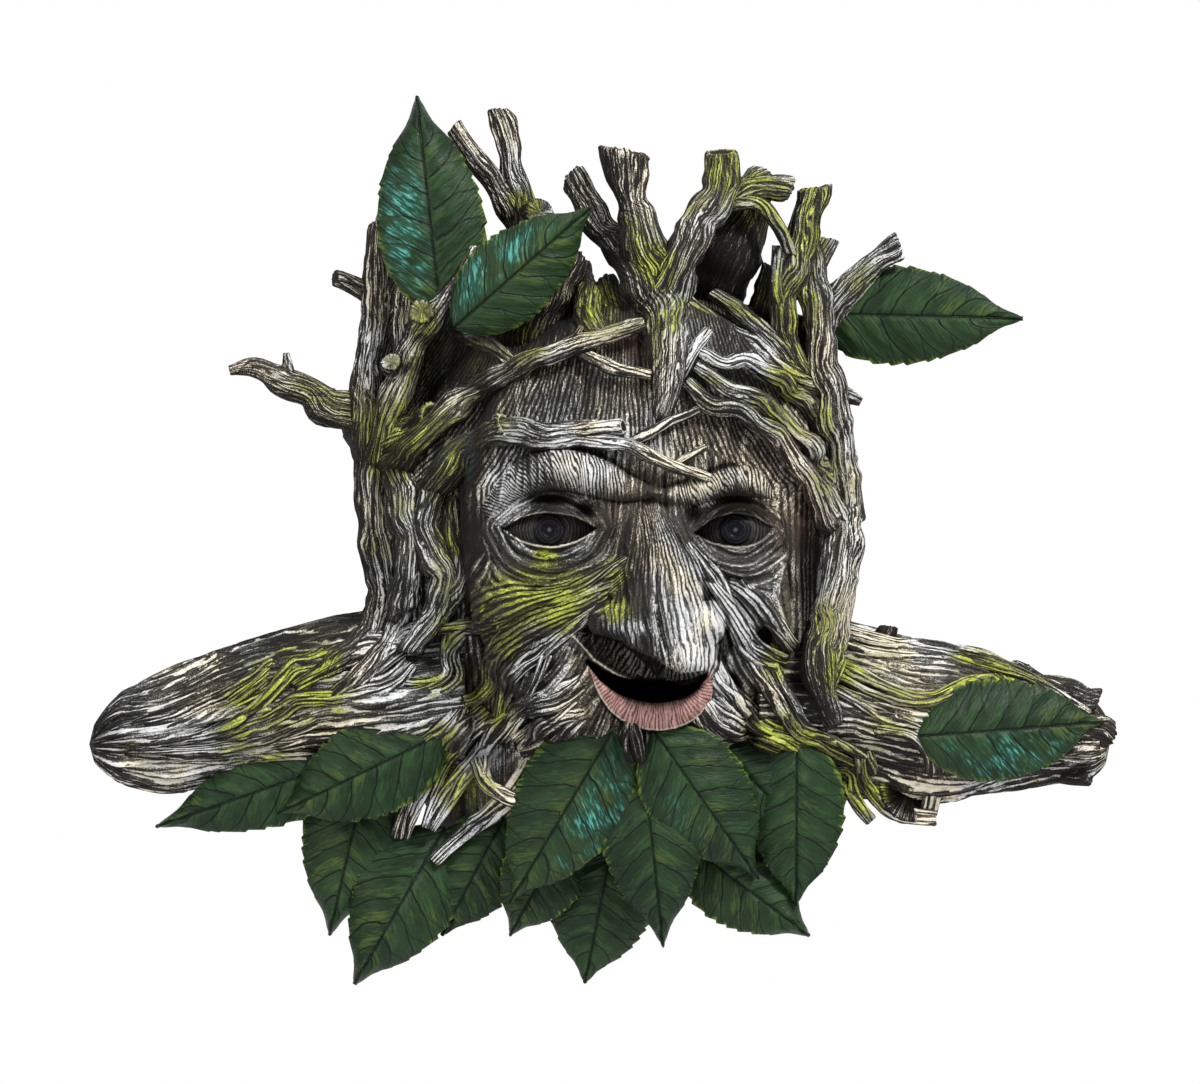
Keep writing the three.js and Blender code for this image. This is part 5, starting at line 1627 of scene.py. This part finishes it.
def parted(routes, seed):
    """Each root parted into strings that lie side by side and cross."""
    chance = np.random.default_rng(seed)
    parts = []
    for route, radii in routes:
        spine, share = curve(route, 5)
        radius = spread(radii, share)
        along = np.gradient(spine[:, :2], axis=0)
        sideways = np.stack([-along[:, 1], along[:, 0]], axis=1)
        sideways /= np.linalg.norm(along, axis=1, keepdims=True)
        count = 2 if max(radii) < 2.5 else 3
        for k in range(count):
            sway = 0.22 * np.sin(share * chance.uniform(4, 9) + chance.uniform(0, 6))
            place = 1.15 * (k / (count - 1) - 0.5) + sway
            rise = spine[:, 2] + radius * (chance.uniform(-0.1, 0.3) - 0.5 * np.abs(place))
            moved = spine[:, :2] + sideways * (place * radius)[:, None]
            thickness = radius * chance.uniform(0.42, 0.6)
            parts.append((np.column_stack([moved, rise]), thickness))
    return parts


for number, (name, routes) in enumerate(ROOTS.items()):
    seed = ROOT_SEEDS + ROOT_SEEDS_APART * number
    wood = woodwork(name, parted(routes, number), seed, ROOT_MORE_CREAM, tied=True)
    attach(wood, "root")
    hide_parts("green_man_mask")

# The leaves: thick toothed blades with an engraved midrib and side veins, cast on and painted deep green
# over black. The crown's carry a blue-green glaze on one half. A leaf is its base and tip, as x, z and
# the rise over the broad form, its width, and how much glaze lies on its left and right halves.
LEAVES = [
    ((-47, 66, 22), (-54, 130, 20), 32, 0.9, 0.15),
    ((-43, 62, 28), (-3, 97, 34), 26, 0.9, 0.0),
    ((60, 67, 2), (123, 65, 16), 29, 0.1, 0.0),
    ((93, -57, 5.5), (148, -53, 4), 30, 0.0, 0.8),
    ((-46, -56, 4), (-95, -80, 12), 29, 0.05, 0.0),
    ((-68, -62, 0), (-131, -84, 4), 24, 0.0, 0.0),
    ((-68, -64, 0), (-80, -116, 2), 30, 0.0, 0.0),
    ((-46, -84, 4), (-72.5, -130, 8), 31, 0.0, 0.1),
    ((-28, -80, 0), (-47, -116, 2), 27, 0.0, 0.0),
    ((4, -54, 0), (-27, -106, 14), 33, 0.8, 0.1),
    ((-10, -84, -1), (-27, -116, 6), 25, 0.0, 0.0),
    ((12, -62, 0), (18, -119, 14), 30, 0.0, 0.0),
    ((15, -55, 0), (46, -99, 16), 31, 0.0, 0.3),
    ((24, -88, -1), (61, -116, 6), 27, 0.0, 0.0),
    ((3, -90, 0), (-5, -130, 2), 31, 0.0, 0.0),
    ((57, -58, 2), (57, -107, 8), 29, 0.0, 0.0),
    ((34, -60, 2), (56, -82, 12), 22, 0.0, 0.0),
]
LEAF_ROWS, LEAF_COLUMNS = 72, 31
LEAF_THICKNESS = 2.0
LEAF_ARCH, LEAF_DROOP = 3, 0.12
LEAF_LEAST_HALF_WIDTH = 0.6
VEIN_PAIRS = 6
TEETH = 12
FORK_FROM = 0.42
LEAF_SHADE, LEAF_GREEN = (0.0078, 0.020, 0.0078), (0.0165, 0.038, 0.0135)
LEAF_STROKE, LEAF_SUNLIT, LEAF_LIME = (0.028, 0.066, 0.022), (0.075, 0.10, 0.014), (0.17, 0.24, 0.03)
VEIN_BLACK = (0.003, 0.006, 0.004)
GLAZE_SHADE, GLAZE_PALE = (0.015, 0.11, 0.085), (0.10, 0.38, 0.32)


def leaf_mesh(base, tip, width, glaze_left, glaze_right, seed):
    """A leaf's blade, a net whose rows go round from its upper side to its under side."""
    start, end = on_form([base, tip])
    reach = np.linalg.norm(end - start)
    ahead = (end - start) / reach
    front = turned_out(ahead)
    across = np.cross(ahead, front)
    s, t = np.meshgrid(np.linspace(0, 1, LEAF_ROWS), np.linspace(-1, 1, LEAF_COLUMNS), indexing="ij")
    out = np.abs(t)
    jitter = clouds(seed + 3 * np.sign(t), 5 * s, 0.4, seed)
    tooth = (s * TEETH + 0.9 * jitter) % 1
    saw = (0.5 - tooth) * (0.04 + 0.07 * jitter) * np.sin(math.pi * s) ** 0.5
    outline = np.sin(math.pi * s ** 0.74) ** 0.82 * (1 - 0.35 * bump(s - 0.92, 0.09))
    side = t * np.maximum(width / 2 * outline * (1 + saw * out ** 6), LEAF_LEAST_HALF_WIDTH)

    vein_run = VEIN_PAIRS * 1.15 * (s - 0.24 * out ** 1.35 * (1 - 0.4 * s)) + 0.5 * (t > 0)
    fork_run = vein_run + 1.5 * np.clip(out - FORK_FROM, 0, 1) ** 1.3
    to_vein = np.abs((vein_run + 0.5) % 1 - 0.5) * reach / VEIN_PAIRS
    midrib = bump(side, 0.7) * (1 - ease(s, 0.93, 1))
    quilt = (1 - bump(to_vein, 2.4)) * (1 - out ** 4)
    ripple = clouds(vein_run * 9 + 40, np.abs(side) * 0.5 + 40, 1.6, seed) - 0.5
    curl = 1.6 * np.sin(5 * s + seed) * t * t + 1.0 * np.sin(9 * s + 2 * seed) * out ** 3
    arch = LEAF_ARCH * np.sin(math.pi * s) - LEAF_DROOP * width * t * t + curl
    relief = 0.6 * quilt - 0.8 * midrib + 0.5 * ripple * (1 - midrib)
    thick = LEAF_THICKNESS * (0.45 + 0.55 * (1 - t ** 4)) * ease(1.02 - s, 0, 0.12)
    place = start + s[..., None] * reach * ahead + side[..., None] * across
    top = place + (arch + relief)[..., None] * front
    under = place + (arch - thick - 0.4)[..., None] * front
    net = np.concatenate([top, under[:, ::-1]], axis=1)

    glaze = np.where(t < 0, glaze_left, glaze_right)
    glaze = glaze * bump(np.hypot((out - 0.5) / 0.45, (s - 0.42) / 0.34), 1)
    notes = {
        "vein": (vein_run, 0),
        "fork": (fork_run, 0),
        "rib": (np.abs(side), 9),
        "edge": (out ** 5 * (1 - 0.4 * s), 0),
        "glaze": (glaze, 0),
        "puff": (quilt, 0.3),
    }
    for label, (upper, lower) in notes.items():
        notes[label] = np.concatenate([upper, np.full(t.shape, lower)], axis=1)
    grain = np.stack([s * reach - 0.8 * np.abs(side), side, 0 * s], axis=-1)
    grain = np.concatenate([grain, grain], axis=1) + 17.3 * seed
    return net.reshape(-1, 3), notes, grain


def leaf_finish():
    """Deep green over black, its edges touched with lime, its halves glazed and its veins cut dark."""
    paint = Finish("painted_leaf")
    grain = paint.read("grain", vector=True)
    strokes = paint.step(paint.noise(paint.stretch(grain, (1.2, 0.3, 1)), 1.0, 3, 0.6), 0.3, 0.7)
    specks = paint.noise(paint.place(), 900, 2)
    wander = paint.noise(paint.stretch(grain, (0.12, 0.12, 1)), 1.0, 2)
    puff = paint.read("puff")

    def thin_line(label):
        """1 where a vein's run passes a whole number."""
        run = paint.sum((paint.read(label), 1.0), (wander, 0.5))
        return paint.step(paint.grooves(run), 0.015, 0.05, 1, 0)

    rib = paint.step(paint.read("rib"), 0.2, 0.5, 1, 0)
    veins = paint.sum((thin_line("vein"), 0.8), (thin_line("fork"), 0.5), (rib, 1.0))
    patches = paint.step(paint.noise(paint.place(), 70, 3), 0.35, 0.65)
    green = paint.blend(patches, LEAF_SHADE, LEAF_GREEN)
    stroked = paint.step(paint.sum((strokes, 0.5), (puff, 0.4)), 0.35, 0.85, 0, 0.6)
    green = paint.blend(stroked, green, LEAF_STROKE)
    sunlit = paint.step(paint.noise(paint.place(), 48, 2), 0.5, 0.66)
    sunlit = paint.times(sunlit, paint.step(paint.sum((strokes, 0.6), (puff, 0.4)), 0.4, 0.9, 0, 0.55))
    green = paint.blend(sunlit, green, LEAF_SUNLIT)
    edged = paint.sum((paint.read("edge"), 0.75), (strokes, 0.4), (specks, 0.4))
    colour = paint.blend(paint.step(edged, 0.85, 1.15, 0, 0.6), green, LEAF_LIME)
    patches = paint.step(paint.noise(paint.place(), 130, 2), 0.38, 0.62)
    glazed = paint.times(patches, paint.step(strokes, 0.2, 0.8, 0.25, 1.0))
    glazed = paint.times(paint.step(paint.read("glaze"), 0.1, 0.8), glazed)
    glaze = paint.blend(paint.step(strokes, 0.55, 0.95), GLAZE_SHADE, GLAZE_PALE)
    colour = paint.blend(paint.times(glazed, 0.85), colour, glaze)
    colour = paint.blend(paint.step(veins, 0.1, 0.8, 0, 0.9), colour, VEIN_BLACK)
    paint.feed(paint.shader.inputs["Base Color"], colour)
    paint.feed(paint.shader.inputs["Roughness"], paint.step(strokes, 0.2, 0.8, 0.36, 0.52))
    paint.shader.inputs["Specular IOR Level"].default_value = 0.15
    paint.relief(paint.sum((strokes, 0.35), (specks, 0.1), (veins, -0.6)), 0.6, 0.0006)
    return paint.material


leaf_paint = leaf_finish()
around = 2 * LEAF_COLUMNS
blade_faces = sheet_faces(LEAF_ROWS, around, ring=True)
blade_faces += np.arange(LEAF_ROWS * around).reshape(LEAF_ROWS, around)[[0, -1]].tolist()
for number, parts in enumerate(LEAVES, 1):
    points, notes, grain = leaf_mesh(*parts, number)
    leaf = casting(f"leaf_{number:02d}", points, blade_faces, leaf_paint, notes, grain)
    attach(leaf, "root")
    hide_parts("green_man_mask")

# The studio: a pale floor well below the hanging mask, soft lights and a camera square to the wall, as
# the photograph was taken.
FLOOR_DROP = 0.5
FLOOR_SHADE, FLOOR_PALE = (0.80, 0.80, 0.80), (0.86, 0.86, 0.86)
LIGHTS_AIM = Vector((0, -0.03, 0))
CAMERA_DISTANCE = 3.0
FRAME_WIDTH = 0.355


def studio_floor():
    bpy.ops.mesh.primitive_plane_add(size=8, location=(0, 0, mask_low.z - FLOOR_DROP))
    floor = bpy.context.object
    floor.name = "floor"
    paint = Finish("pale_floor")
    cloud = paint.noise(paint.place(), 3, 2)
    paint.feed(paint.shader.inputs["Base Color"], paint.blend(cloud, FLOOR_SHADE, FLOOR_PALE))
    paint.shader.inputs["Roughness"].default_value = 0.8
    floor.data.materials.append(paint.material)


def soft_light(name, place, size, power):
    lamp = bpy.data.lights.new(name, "AREA")
    lamp.shape = "DISK"
    lamp.size = size
    lamp.energy = power
    light = bpy.data.objects.new(name, lamp)
    light.location = place
    light.rotation_euler = (LIGHTS_AIM - Vector(place)).to_track_quat("-Z", "Y").to_euler()
    bpy.context.collection.objects.link(light)


studio_floor()
soft_light("key", (0.85, -1.15, 1.15), 0.4, 38)
soft_light("fill", (-1.1, -1.2, 0.5), 0.6, 9)
soft_light("top", (0.1, 0.2, 1.4), 0.8, 5)

# The room is white before the mask and a little darker behind it.
world = bpy.data.worlds.new("pale_room")
world.use_nodes = True
nodes, links = world.node_tree.nodes, world.node_tree.links
split = nodes.new("ShaderNodeSeparateXYZ")
links.new(nodes.new("ShaderNodeTexCoord").outputs["Generated"], split.inputs["Vector"])
white_wall = nodes.new("ShaderNodeMapRange")
for label, number in (("From Min", 0.75), ("From Max", 0.95), ("To Min", 0.55), ("To Max", 1.0)):
    white_wall.inputs[label].default_value = number
links.new(split.outputs["Y"], white_wall.inputs["Value"])
links.new(white_wall.outputs["Result"], nodes["Background"].inputs["Color"])
bpy.context.scene.world = world
bpy.context.scene.view_settings.view_transform = "Standard"

middle = (mask_low + mask_high) / 2
lens = bpy.data.cameras.new("camera")
lens.sensor_width = 36
lens.lens = lens.sensor_width * CAMERA_DISTANCE / FRAME_WIDTH
camera = bpy.data.objects.new("camera", lens)
camera.location = (middle.x, -CAMERA_DISTANCE, middle.z)
camera.rotation_euler = (math.pi / 2, 0, 0)
bpy.context.collection.objects.link(camera)
bpy.context.scene.camera = camera
